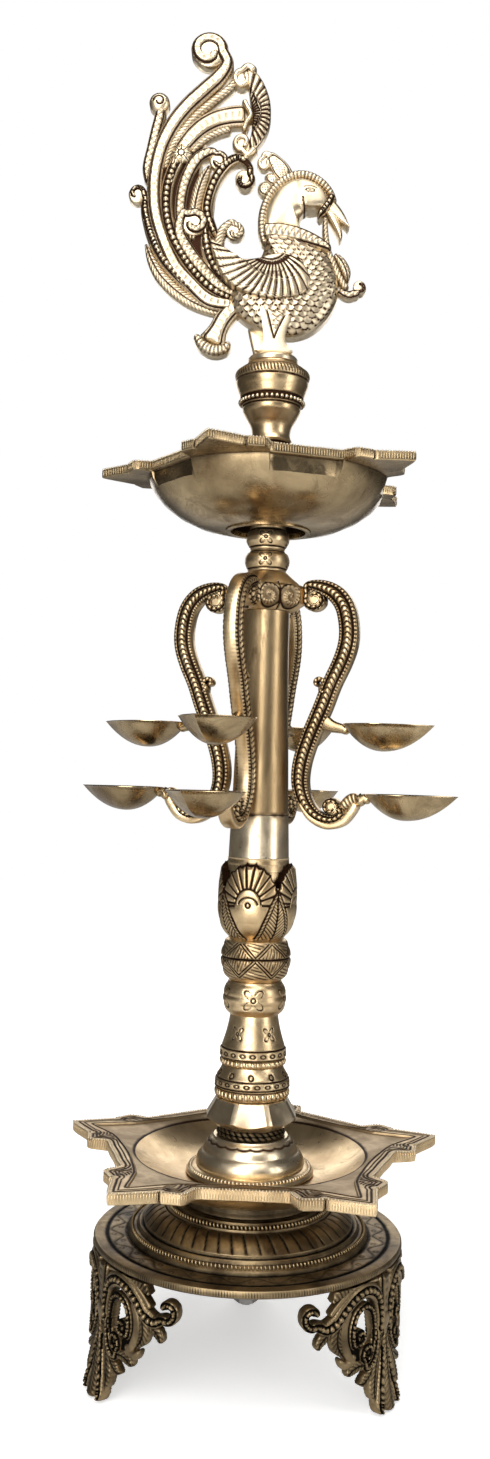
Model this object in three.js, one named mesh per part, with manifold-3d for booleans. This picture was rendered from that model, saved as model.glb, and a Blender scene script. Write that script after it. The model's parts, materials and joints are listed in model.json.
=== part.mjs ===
// A brass standing oil lamp (samai), built as the separate castings and turnings it is assembled from.
// Millimetres, +Z up. The lamp's axis is the Z axis and it stands on the plane z = 0.
// The peacock looks along +X. Angles are degrees about Z, counted from +X.
import * as THREE from 'three';
import { mergeVertices } from 'three/addons/utils/BufferGeometryUtils.js';
import Module from 'manifold-3d';

const wasm = await Module();
wasm.setup();

// ---------------------------------------------------------------- driving dimensions
const GAP = 0.3; // clearance between pieces that seat on each other
const ROD_RADIUS = 3.5; // tie rod and finial stud
const ROD_HOLE = 4.2; // their hole in the turned pieces
const ROUND_SIDES = 20; // sides of a turned piece
const ROD_SIDES = 12;

// Seats of the stack, from the floor to the peacock's foot plate.
const SEAT = {
  nutBottom: 36,
  hubBottom: 42,
  discUnder: 70.4,
  discCrown: 92.7,
  trayUnder: 99,
  trayFloor: 107,
  ringTop: 111.4,
  coneTop: 128,
  washerTop: 133.2,
  flareTop: 149.3,
  lowerBellTop: 167.4,
  upperBellTop: 195.5,
  flowerBeadTop: 214.8,
  bandBeadTop: 239,
  lotusTop: 284,
  columnSeam: 308.3,
  columnTop: 424.2,
  collarTop: 447,
  lowerNeckTop: 459.5,
  upperNeckTop: 472.6,
  bowlUnder: 471.5,
  socketTop: 485,
  hubTop: 516,
  potTop: 567.2,
};

const DISC_RADIUS = 86.3;
const LEG_ANGLES = { leg_front_left: -152, leg_front_right: -32, leg_back: 88 };

const PETALS = 5;
const TRAY = { tip: 113.1, rimTop: 121.7, rimUnder: 115.7, firstTip: 87.7 };
const BOWL = { tip: 96.8, rimTop: 504.6, rimUnder: 499.6, firstTip: 107 };

const BRANCH_ANGLES = { right: -20, front: -110, left: 160, back: 70 };
const BRANCH_RADIUS = 5.2; // half the thickness of a branch
const CUP_HALF_WIDTH = 19.2;
const PIN_RADIUS = 2.2; // of the pin that holds a cup
const LOWER_CUP = { start: 61, tip: 113.8, rim: 322.2, depth: 14.2 };
const UPPER_CUP = { start: 47.8, tip: 100, rim: 360.6, depth: 14.8 };

const PEACOCK_TAIL_THICKNESS = 13;
const PEACOCK_CHEST_THICKNESS = 19;

// ---------------------------------------------------------------- materials
const brass = (color, roughness) => new THREE.MeshStandardMaterial({ color, roughness, metalness: 1 });
const POLISHED = brass(0xcdb27a, 0.3);
const AGED = brass(0x9a7a46, 0.4);
const DARK = brass(0x55452a, 0.5);
const PALE = brass(0xcbbd92, 0.4);
const STEEL = new THREE.MeshStandardMaterial({ color: 0x85878a, roughness: 0.5, metalness: 1 });

// ---------------------------------------------------------------- solids
// Welds a geometry's seams, drops its collapsed faces and turns its faces outwards.
function welded(geometry) {
  const bare = new THREE.BufferGeometry();
  bare.setAttribute('position', geometry.getAttribute('position'));
  bare.setIndex(geometry.index);
  const merged = mergeVertices(bare, 1e-4);
  const position = merged.getAttribute('position');
  const corners = [new THREE.Vector3(), new THREE.Vector3(), new THREE.Vector3()];
  const kept = [];
  let volume = 0;
  for (let i = 0; i < merged.index.count; i += 3) {
    const face = [0, 1, 2].map((k) => merged.index.getX(i + k));
    if (new Set(face).size < 3) continue;
    face.forEach((vertex, k) => corners[k].fromBufferAttribute(position, vertex));
    volume += corners[0].dot(corners[1].clone().cross(corners[2]));
    kept.push(face);
  }
  const outward = volume < 0 ? kept.map(([a, b, c]) => [a, c, b]) : kept;
  merged.setIndex(outward.flat());
  return merged;
}

function toManifold(geometry) {
  const vertProperties = new Float32Array(geometry.getAttribute('position').array);
  const triVerts = new Uint32Array(geometry.index.array);
  return new wasm.Manifold(new wasm.Mesh({ numProp: 3, vertProperties, triVerts }));
}

function fromManifold(solid) {
  const mesh = solid.getMesh();
  const geometry = new THREE.BufferGeometry();
  geometry.setAttribute('position', new THREE.BufferAttribute(mesh.vertProperties, 3));
  geometry.setIndex(new THREE.BufferAttribute(mesh.triVerts, 1));
  return geometry;
}

const joined = (geometries) => geometries.map(toManifold).reduce((all, one) => all.add(one));

// Turns a closed profile of [radius, height] points about Z. The first corner line stands at startAngle.
function revolved(profile, sides = ROUND_SIDES, startAngle = 0) {
  const points = [...profile, profile[0]].map(([r, z]) => new THREE.Vector2(r, z));
  const start = THREE.MathUtils.degToRad(startAngle + 90);
  return welded(new THREE.LatheGeometry(points, sides, start, 2 * Math.PI).rotateX(Math.PI / 2));
}

// A turned piece: its outline from bottom to top, closed by a straight hole.
function turned(outline, hole, sides = ROUND_SIDES, startAngle = 0) {
  const bottom = outline[0][1];
  const top = outline[outline.length - 1][1];
  return revolved([...outline, [hole, top], [hole, bottom]], sides, startAngle);
}

// Skins a closed chain of rings that all have the same number of points.
function skinned(rings) {
  const count = rings[0].length;
  const index = [];
  rings.forEach((ring, i) => {
    const a = i * count;
    const b = ((i + 1) % rings.length) * count;
    for (let k = 0; k < count; k += 1) {
      const next = (k + 1) % count;
      index.push(a + k, b + k, b + next, a + k, b + next, a + next);
    }
  });
  const geometry = new THREE.BufferGeometry().setFromPoints(rings.flat());
  geometry.setIndex(index);
  return welded(geometry);
}

// The frame of a vertical plane through the axis: x outwards, y sideways, z up.
function radialFrame(angle) {
  const turn = THREE.MathUtils.degToRad(angle);
  const out = new THREE.Vector3(Math.cos(turn), Math.sin(turn), 0);
  const side = new THREE.Vector3(-Math.sin(turn), Math.cos(turn), 0);
  return new THREE.Matrix4().makeBasis(out, side, new THREE.Vector3(0, 0, 1));
}

// A plate: an outline in the x-z plane, with its thickness centred on y.
function plate(shape, thickness) {
  const geometry = new THREE.ExtrudeGeometry(shape, { depth: thickness, bevelEnabled: false });
  return welded(geometry.translate(0, 0, -thickness / 2).rotateX(Math.PI / 2));
}

// A ribbon in the x-z plane that follows a smooth line of [x, z, half width] points.
function ribbon(points, thickness, steps) {
  const line = new THREE.CatmullRomCurve3(points.map(([x, z]) => new THREE.Vector3(x, z, 0)));
  const widths = new THREE.CatmullRomCurve3(points.map(([, , w], i) => new THREE.Vector3(i, w, 0)));
  const left = [];
  const right = [];
  for (let i = 0; i <= steps; i += 1) {
    const along = i / steps;
    const centre = line.getPoint(along);
    const heading = line.getTangent(along);
    const half = widths.getPoint(along).y;
    left.push(new THREE.Vector2(centre.x - heading.y * half, centre.y + heading.x * half));
    right.push(new THREE.Vector2(centre.x + heading.y * half, centre.y - heading.x * half));
  }
  return plate(new THREE.Shape([...left, ...right.reverse()]), thickness);
}

function disc(x, z, radius, thickness, sides = 14) {
  const round = new THREE.CylinderGeometry(radius, radius, thickness, sides);
  return welded(round.translate(x, 0, z));
}

function ellipsoid(centre, radii) {
  const ball = new THREE.SphereGeometry(1, 14, 9);
  return welded(ball.scale(...radii).translate(...centre));
}

// ---------------------------------------------------------------- petal outlines
// Half a petal as [angle from its tip, share of the tip radius]: tip, flank, notch, ear, valley.
const PETAL_EDGE = [[0, 1], [5, 0.91], [10, 0.82], [15.5, 0.825], [18.5, 0.715], [26, 0.70], [36, 0.682]];
const PETAL_HOLLOW = [[0, 0.86], [5, 0.745], [10, 0.665], [15.5, 0.635], [18.5, 0.625], [26, 0.61], [36, 0.59]];

function petalRing(half, tip, firstTip, height, inset = 0) {
  const rising = half.slice(1, -1).reverse().map(([angle, share]) => [-angle, share]);
  const period = [[-half[half.length - 1][0], half[half.length - 1][1]], ...rising, ...half.slice(0, -1)];
  const ring = [];
  for (let petal = 0; petal < PETALS; petal += 1) {
    period.forEach(([angle, share]) => {
      const turn = THREE.MathUtils.degToRad(firstTip + (360 / PETALS) * petal + angle);
      const radius = tip * share - inset;
      ring.push(new THREE.Vector3(radius * Math.cos(turn), radius * Math.sin(turn), height));
    });
  }
  return ring;
}

function roundRing(like, radius, height) {
  return like.map((point) => {
    const turn = Math.atan2(point.y, point.x);
    return new THREE.Vector3(radius * Math.cos(turn), radius * Math.sin(turn), height);
  });
}

// A petal-edged dish. Its floor and underside are given as [radius, height] points.
function petalDish({ tip, rimTop, rimUnder, firstTip }, hollowDepth, floor, underside) {
  const edge = petalRing(PETAL_EDGE, tip, firstTip, rimTop);
  return skinned([
    edge,
    petalRing(PETAL_HOLLOW, tip, firstTip, rimTop - 0.6),
    petalRing(PETAL_HOLLOW, tip, firstTip, rimTop - hollowDepth, 4.5),
    ...floor.map(([radius, height]) => roundRing(edge, radius, height)),
    ...underside.map(([radius, height]) => roundRing(edge, radius, height)),
    petalRing(PETAL_EDGE, tip, firstTip, rimUnder, 1),
  ]);
}

// ---------------------------------------------------------------- the stand
function baseDisc() {
  const top = [
    [84.8, SEAT.discUnder], [DISC_RADIUS, 71.4], [DISC_RADIUS, 73.6], [85, 74.4], [67, 74.8], [65.3, 78],
    [60.5, 79], [58, 81.7], [48, 89.3], [44.5, 91.2], [38, SEAT.discCrown], [ROD_HOLE, SEAT.discCrown],
  ];
  const underside = [[ROD_HOLE, 88], [36, 88], [46, 84.5], [58, 76.5], [64, SEAT.discUnder]];
  return revolved([...top, ...underside], 36);
}

// One leg: an open scroll plate that follows the disc's rim, with a solid foot.
function legCasting(angle) {
  const half = [
    [5, 70.1], [6, 62], [11, 62], [14, 70.1], [32, 70.1], [38, 66], [42, 60.5], [45, 64.5], [50, 65.5],
    [54, 62], [54.5, 57], [51, 52], [46.5, 50.5], [43, 42.5], [36, 41], [30, 34.5], [29, 28.5], [21, 25.5],
    [13, 20], [9.5, 12], [8.5, 4], [8, 0],
  ];
  const mirrored = half.map(([x, z]) => [-x, z]).reverse();
  const shape = new THREE.Shape([...half, ...mirrored].map(([x, z]) => new THREE.Vector2(x, z)));
  [-17.5, 17.5].forEach((x) => {
    shape.holes.push(new THREE.Path().absellipse(x, 48, 6, 7, 0, 2 * Math.PI, false));
  });
  const prism = new THREE.ExtrudeGeometry(shape, { depth: 70, bevelEnabled: false, curveSegments: 8 });
  const turn = THREE.MathUtils.degToRad(angle);
  const out = new THREE.Vector3(Math.cos(turn), Math.sin(turn), 0);
  const side = new THREE.Vector3(-Math.sin(turn), Math.cos(turn), 0);
  const frame = new THREE.Matrix4().makeBasis(side, new THREE.Vector3(0, 0, 1), out);
  const bracket = welded(prism.translate(0, 0, 40).applyMatrix4(frame));
  const wall = revolved([
    [92.5, -1], [92.8, 4], [89, 14], [87.2, 25], [86.3, 42], [86.3, 71],
    [80.3, 71], [80.3, 42], [81, 25], [82.5, 14], [83, 4], [83, -1],
  ], 30, angle);
  return fromManifold(toManifold(bracket).intersect(toManifold(wall)));
}

function hexNut(bottom, height, radius) {
  return turned([[radius, bottom], [radius, bottom + height]], ROD_HOLE, 6);
}

function rod(bottom, top) {
  const shaft = new THREE.CylinderGeometry(ROD_RADIUS, ROD_RADIUS, top - bottom, ROD_SIDES);
  return welded(shaft.rotateX(Math.PI / 2).translate(0, 0, (top + bottom) / 2));
}

function starTray() {
  const floor = [[55, SEAT.trayFloor], [12, SEAT.trayFloor]];
  const underside = [[12, SEAT.trayUnder], [36, SEAT.trayUnder], [60, 105]];
  return petalDish(TRAY, 5, floor, underside);
}

// The turned stack, each from its seat upwards: [radius, height] outlines and the hole through them.
const TURNED = [
  ['tie_hub', [[8.7, SEAT.hubBottom], [8.7, 80], [12, 87.7]], ROD_HOLE, DARK],
  ['tray_foot', [[37.6, SEAT.discCrown + GAP], [36.4, 95], [35.5, SEAT.trayUnder - GAP]], 20, DARK],
  ['tray_bead_ring', [[33, SEAT.trayFloor + GAP], [35.6, 108], [35.8, 109.8], [32.6, SEAT.ringTop]], 12, AGED],
  ['tray_cone', [[30, SEAT.ringTop + GAP], [29.2, 114.6], [25.4, 121.5], [20.4, SEAT.coneTop]], 12, POLISHED],
  ['neck_washer', [[18.2, SEAT.coneTop + GAP], [19.2, 130.6], [18.2, SEAT.washerTop]], ROD_HOLE, DARK],
  ['lower_bell', [[19, SEAT.flareTop + GAP], [21.2, 154.3], [21.2, 157.4], [20.4, 161], [17, SEAT.lowerBellTop]],
    12, AGED],
  ['upper_bell', [[17, SEAT.lowerBellTop + GAP], [19, 171], [19, 173.6], [18, 177], [13.6, SEAT.upperBellTop]],
    9, AGED],
  ['flower_bead', [[14, SEAT.upperBellTop + GAP], [16.6, 199.4], [17.6, 204.8], [16.6, 210],
    [14.2, SEAT.flowerBeadTop]], 8, AGED],
  ['band_bead', [[15, SEAT.flowerBeadTop + GAP], [17.6, 218], [19.6, 227.6], [17.8, 236],
    [15.4, SEAT.bandBeadTop]], 9, AGED],
  ['lotus_cup', [[15.6, SEAT.bandBeadTop + GAP], [17.9, 242.4], [21.4, 250.4], [22.2, 260], [21.7, 273], [17.8, 280],
    [17.7, SEAT.lotusTop]], 11, AGED],
  ['column_lower', [[17.1, SEAT.lotusTop + GAP], [16.8, 296], [16.3, SEAT.columnSeam]], 11, POLISHED],
  ['column_upper', [[16.2, SEAT.columnSeam + GAP], [15.4, 339.5], [14.3, 374], [13.8, 408],
    [13.8, SEAT.columnTop]], 9.5, AGED],
  ['lower_neck_bead', [[10.9, SEAT.collarTop + GAP], [12.9, 451], [12.6, 455.5], [9.9, SEAT.lowerNeckTop]],
    ROD_HOLE, AGED],
  ['upper_neck_bead', [[9.8, SEAT.lowerNeckTop + GAP], [12.2, 463.5], [12.2, 468.5], [9.8, SEAT.upperNeckTop]],
    ROD_HOLE, AGED],
  ['oil_hub', [[20, SEAT.socketTop + GAP], [17, 490], [11, 499], [10, 511], [12.2, SEAT.hubTop]], ROD_HOLE, AGED],
  ['finial_pot', [[12.2, SEAT.hubTop + GAP], [12.4, 525], [11, 532], [16.2, 539], [17.9, 545], [19.8, 551],
    [21.4, 557], [20.2, 561], [15.6, 564.4], [15, SEAT.potTop]], ROD_HOLE, POLISHED],
];

function facetedFlare() {
  return turned([[19.6, SEAT.washerTop + GAP], [27, 138], [20.7, SEAT.flareTop]], 14, 8, 22.5);
}

// ---------------------------------------------------------------- the branches
// A square block whose four corners carry the branches.
function branchCollar() {
  const outline = [[18.4, SEAT.columnTop + GAP], [23.6, 427.5], [23.6, 436.5], [11.6, SEAT.collarTop]];
  return turned(outline, 6, 4, BRANCH_ANGLES.right);
}

// One branch: out of the collar, over its volute, down past the column and up to the lower cup.
function branchArm(angle) {
  const route = [
    [24.4, 436], [32.5, 438.2], [41.5, 434.2], [47.6, 426.5], [50.2, 415], [49.8, 405], [46.6, 395],
    [41.2, 383.3], [36.2, 370], [27.2, 352], [23.6, 334.1], [26, 319.1], [34.2, 309.8], [43.7, 307.9],
    [51, 311.8], [53.6, 317.8],
  ].map(([r, z]) => new THREE.Vector3(r, 0, z));
  const section = new THREE.Shape(new THREE.Path().absarc(0, 0, BRANCH_RADIUS, 0, 2 * Math.PI).getPoints(4));
  const bar = new THREE.ExtrudeGeometry(section, {
    steps: 17,
    bevelEnabled: false,
    extrudePath: new THREE.CatmullRomCurve3(route),
  });
  const scrolls = [disc(30.6, 431.4, 6, 9), disc(34.6, 382, 4.2, 8, 12), disc(43.4, 313.6, 4.6, 8, 12)];
  return fromManifold(joined([welded(bar), ...scrolls])).applyMatrix4(radialFrame(angle));
}

// Half the plan of a cup as [share of its length, share of its half width].
const CUP_EDGE = [[0, 0.22], [0.06, 0.55], [0.2, 0.87], [0.42, 1], [0.65, 0.8], [0.85, 0.42]];

function cupRing(cup, scale, drop) {
  const length = cup.tip - cup.start;
  const centre = 0.44;
  const place = (share, width) => new THREE.Vector3(
    cup.start + length * (centre + (share - centre) * scale),
    CUP_HALF_WIDTH * width * scale,
    cup.rim - drop,
  );
  const near = CUP_EDGE.map(([share, width]) => place(share, width));
  const far = CUP_EDGE.map(([share, width]) => place(share, -width)).reverse();
  return [...near, place(1, 0), ...far];
}

// A leaf-shaped oil cup with a thin wall.
function oilCup(cup, angle) {
  const rings = [
    [0, cup.depth], [0.42, cup.depth - 1.6], [0.82, 5.4], [1, 0], [0.93, 0], [0.76, 5.2],
    [0.36, cup.depth - 4], [0, cup.depth - 2.2],
  ].map(([scale, drop]) => cupRing(cup, scale, drop));
  return skinned(rings).applyMatrix4(radialFrame(angle));
}

// The round pin between a branch and its cup.
function cupPin(start, cup, angle) {
  const end = cup.start - GAP;
  const pin = new THREE.CylinderGeometry(PIN_RADIUS, PIN_RADIUS, end - start, 8).rotateZ(Math.PI / 2);
  pin.translate((start + end) / 2, 0, cup.rim - PIN_RADIUS - 0.2);
  return welded(pin.applyMatrix4(radialFrame(angle)));
}

// ---------------------------------------------------------------- the bowl
function upperBowl() {
  const floor = [[46, 480.2], [24.6, 480.2]];
  const underside = [[24.6, SEAT.bowlUnder], [40, 473], [60, 484]];
  return petalDish(BOWL, 4.5, floor, underside);
}

// The bowl's centre: a flared neck in a ring-shaped recess.
function bowlSocket() {
  return revolved([
    [ROD_HOLE, SEAT.upperNeckTop + GAP], [10, SEAT.upperNeckTop + GAP], [13.8, 480.6], [21.2, 480.6],
    [21.2, SEAT.bowlUnder], [24.3, SEAT.bowlUnder], [24.3, SEAT.socketTop], [ROD_HOLE, SEAT.socketTop],
  ]);
}

// ---------------------------------------------------------------- the peacock
// Tail plumes as [x, z, half width] lines, each with its number of steps.
const PLUMES = [
  [[[-23, 599, 6], [-48, 612, 6], [-64, 636, 5.5], [-70, 665, 5], [-63, 705, 5], [-49, 724, 5], [-33, 742, 5]], 14],
  [[[-57, 684, 4], [-50, 702, 5], [-40, 711, 5.5], [-30, 714.5, 6], [-10, 713, 8]], 6],
  [[[-22, 738, 3], [-12, 730, 5], [-8, 715, 6], [-11, 700, 5], [-23, 686, 3.5]], 8],
  [[[-70, 718, 4], [-71.5, 705, 4], [-75, 688, 3.5], [-75, 668, 3.5], [-72, 645, 3.5]], 6],
  [[[-81, 664, 4], [-76.5, 655, 3], [-73, 638, 4], [-59, 618, 5], [-37, 600, 5]], 8],
  [[[-74.5, 634, 0.8], [-68, 619, 3.5], [-58, 609, 4.5], [-38, 598, 4]], 6],
  [[[-56, 687, 5], [-61, 670, 5.5], [-59, 641, 6], [-46, 618, 6], [-26, 603, 6]], 8],
  [[[-36, 686, 4.5], [-44, 690, 4.5], [-52, 676, 5], [-53, 655, 5]], 6],
  [[[-20, 676, 4], [-26, 687, 4.5], [-36, 676, 5], [-40, 655, 6], [-36, 630, 6], [-24, 612, 6]], 10],
  [[[-48, 648, 5], [-53, 643, 5], [-50, 632, 6], [-33, 611, 6], [-20, 604, 6]], 8],
  [[[-25, 644, 4], [-31, 643, 4], [-32, 630, 3.5], [-28, 622, 4]], 5],
  [[[-20, 600, 6], [-28, 590, 5.5], [-35, 577, 9]], 5],
];

const PLUME_CURLS = [[-42, 751, 11], [-70, 719, 5.6], [-81, 665, 5.8], [-55.5, 688, 5.2], [-34.5, 685, 5],
  [-19, 673, 5], [-48, 648, 8.2], [-24, 645, 5], [-21.5, 734, 4], [-22, 696, 4]];

function peacock() {
  const tail = PLUMES.map(([line, steps]) => ribbon(line, PEACOCK_TAIL_THICKNESS, steps));
  const curls = PLUME_CURLS.map(([x, z, radius]) => disc(x, z, radius, PEACOCK_TAIL_THICKNESS, 14));
  const wing = ribbon([[-36, 629, 2], [-24, 618, 8], [-6, 614, 12], [10, 614, 11], [19, 612, 6]], 26, 6);
  const chest = ribbon([[17, 614, 15], [16, 628, 14], [11, 640, 12], [6, 651, 10]], PEACOCK_CHEST_THICKNESS, 6);
  const head = ribbon([[3, 650, 8.5], [6, 664, 8.5], [15, 669, 7.5], [25, 664, 6], [32, 656, 4.5],
    [40.5, 647.4, 0.8]], 13, 9);
  const crest = ribbon([[6, 671, 3.5], [1, 681, 5], [-6, 690, 2]], 6, 4);
  const strand = ribbon([[33, 650, 3], [31, 636, 3], [37, 622, 3.5], [48, 613, 2.5]], 6, 7);
  const body = ellipsoid([6, 0, 606], [31, 15, 22]);
  const legs = new THREE.Shape([[-9, 600], [-7, 580], [-12, 571], [12, 571], [5.5, 580], [11, 600]].map(
    ([x, z]) => new THREE.Vector2(x, z),
  ));
  const footPlate = revolved([[14.4, SEAT.potTop + GAP], [14.4, 571.5], [0, 571.5], [0, SEAT.potTop + GAP]]);
  const casting = joined([...tail, ...curls, wing, chest, head, crest, strand, body, plate(legs, 15), footPlate]);
  const studHole = revolved([[ROD_HOLE, 560], [ROD_HOLE, 576.5], [0, 576.5], [0, 560]], ROD_SIDES);
  return fromManifold(casting.subtract(toManifold(studHole)));
}

// ---------------------------------------------------------------- assembly
const lamp = new THREE.Group();

function add(name, geometry, material) {
  const mesh = new THREE.Mesh(geometry, material);
  mesh.name = name;
  geometry.computeVertexNormals();
  lamp.add(mesh);
}

add('base_disc', baseDisc(), DARK);
Object.entries(LEG_ANGLES).forEach(([name, angle]) => add(name, legCasting(angle), DARK));
add('tie_rod', rod(SEAT.nutBottom - 2, SEAT.hubTop - 14), STEEL);
add('tie_nut', hexNut(SEAT.nutBottom, SEAT.hubBottom - GAP - SEAT.nutBottom, 7.4), STEEL);
add('star_tray', starTray(), POLISHED);
TURNED.forEach(([name, outline, hole, material]) => add(name, turned(outline, hole), material));
add('faceted_flare', facetedFlare(), PALE);
add('branch_collar', branchCollar(), AGED);
Object.entries(BRANCH_ANGLES).forEach(([side, angle]) => {
  add(`arm_${side}`, branchArm(angle), AGED);
  add(`lower_cup_${side}`, oilCup(LOWER_CUP, angle), AGED);
  add(`lower_cup_pin_${side}`, cupPin(55.4, LOWER_CUP, angle), AGED);
  add(`upper_cup_${side}`, oilCup(UPPER_CUP, angle), AGED);
  add(`upper_cup_pin_${side}`, cupPin(38, UPPER_CUP, angle), AGED);
});
add('upper_bowl', upperBowl(), AGED);
add('bowl_socket', bowlSocket(), AGED);
add('finial_stud', rod(SEAT.hubTop - 12, 576), STEEL);
add('peacock', peacock(), PALE);

export default lamp;
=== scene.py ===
"""Looks of a brass standing oil lamp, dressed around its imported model.

Every sub-assembly is a class that knows its sizes, builds its meshes in millimetres in the
model's own frame, and dresses them. Strings of beads, ticks and flutes are Geometry Nodes
trees. Flat castings are straps and plaques with chased faces, and turned pieces are profiles
with engraving cut into them.
"""

import json
import logging
import math
from dataclasses import dataclass
from enum import Enum
from functools import cache
from typing import Callable, Sequence

import bpy
import numpy as np
from mathutils import Matrix, Vector

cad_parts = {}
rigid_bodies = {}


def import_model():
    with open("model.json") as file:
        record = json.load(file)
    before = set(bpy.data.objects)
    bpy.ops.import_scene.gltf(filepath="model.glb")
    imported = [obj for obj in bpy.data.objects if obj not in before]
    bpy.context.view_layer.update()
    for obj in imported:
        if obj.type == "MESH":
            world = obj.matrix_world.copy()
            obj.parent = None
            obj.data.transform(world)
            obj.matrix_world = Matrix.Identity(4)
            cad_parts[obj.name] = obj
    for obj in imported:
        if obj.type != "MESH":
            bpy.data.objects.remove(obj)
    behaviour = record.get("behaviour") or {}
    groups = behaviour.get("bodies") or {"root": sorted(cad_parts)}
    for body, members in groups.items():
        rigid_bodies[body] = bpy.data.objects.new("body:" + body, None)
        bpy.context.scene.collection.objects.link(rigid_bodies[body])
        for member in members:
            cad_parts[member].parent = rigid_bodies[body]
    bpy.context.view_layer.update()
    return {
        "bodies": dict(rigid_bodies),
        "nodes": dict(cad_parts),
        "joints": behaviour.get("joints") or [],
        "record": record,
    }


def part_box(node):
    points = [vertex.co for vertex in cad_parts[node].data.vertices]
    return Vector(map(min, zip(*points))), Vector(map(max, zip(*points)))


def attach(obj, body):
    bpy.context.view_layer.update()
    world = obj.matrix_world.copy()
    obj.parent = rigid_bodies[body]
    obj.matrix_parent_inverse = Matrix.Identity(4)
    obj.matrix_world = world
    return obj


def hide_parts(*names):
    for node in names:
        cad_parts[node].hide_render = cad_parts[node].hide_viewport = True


LOG = logging.getLogger("lamp")
MM = 0.001
TURN = 2 * math.pi
Array = np.ndarray
Relief = Callable[[Array, Array, Array], tuple[Array, Array]]


class Body(Enum):
    """The bodies that pieces ride on."""

    STAND = "stand"
    BRANCHES = "branch_ring"
    BOWL = "bowl"
    FINIAL = "finial"


class Slot(Enum):
    """The record's material slots."""

    POLISHED = "polished_brass"
    AGED = "aged_brass"
    DARK = "dark_brass"
    PALE = "pale_brass"
    STEEL = "steel"


# Node trees
class Graph:
    """Adds and links nodes in one node tree."""

    def __init__(self, tree: bpy.types.NodeTree) -> None:
        """Takes the tree to fill."""
        self.tree = tree

    def feed(self, node: bpy.types.Node, key: str | int, value: object) -> None:
        """Links a socket to a node's input, or sets the input's own value.

        Args:
            node: The node that takes the value.
            key: The input's name or index.
            value: A socket or a plain value.
        """
        if isinstance(value, bpy.types.NodeSocket):
            self.tree.links.new(value, node.inputs[key])
        else:
            node.inputs[key].default_value = value

    def add(self, kind: str, inputs: dict | None = None, **settings: object) -> bpy.types.Node:
        """Makes one node.

        Args:
            kind: The node's type name.
            inputs: Values or sockets by input name or index.
            **settings: The node's own settings.

        Returns:
            The new node.
        """
        node = self.tree.nodes.new(kind)
        for name, value in settings.items():
            setattr(node, name, value)
        for key, value in (inputs or {}).items():
            self.feed(node, key, value)
        return node

    def math(self, operation: str, a: object, b: object = 0.0, clamp: bool = False) -> bpy.types.NodeSocket:
        """One Math node.

        Args:
            operation: The node's operation.
            a: First value or socket.
            b: Second value or socket.
            clamp: Whether the result is kept between 0 and 1.

        Returns:
            The result's socket.
        """
        return self.add("ShaderNodeMath", {0: a, 1: b}, operation=operation, use_clamp=clamp).outputs[0]

    def remap(self, value: object, low: float, high: float, to_low: object = 0.0,
            to_high: object = 1.0) -> bpy.types.NodeSocket:
        """A clamped Map Range node from low..high to to_low..to_high."""
        inputs = {"Value": value, "From Min": low, "From Max": high, "To Min": to_low, "To Max": to_high}
        return self.add("ShaderNodeMapRange", inputs).outputs[0]

    def blend(self, amount: object, first: object, second: object) -> bpy.types.NodeSocket:
        """A colour mix of first and second by amount."""
        node = self.add("ShaderNodeMix", {0: amount, 6: first, 7: second}, data_type="RGBA")
        return node.outputs[2]


def open_group(name: str, kind: str,
               sockets: Sequence[tuple[str, str, str]]) -> tuple[Graph, dict, bpy.types.Node]:
    """Starts a node group.

    Args:
        name: The group's name.
        kind: The tree type.
        sockets: Rows of (name, INPUT or OUTPUT, socket type without its prefix).

    Returns:
        The graph, its input sockets by name, and its output node.
    """
    tree = bpy.data.node_groups.new(name, kind)
    for label, side, socket_type in sockets:
        tree.interface.new_socket(name=label, in_out=side, socket_type=f"NodeSocket{socket_type}")
    graph = Graph(tree)
    source = graph.add("NodeGroupInput")
    sink = graph.add("NodeGroupOutput")
    return graph, {socket.name: socket for socket in source.outputs if socket.name}, sink


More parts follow.
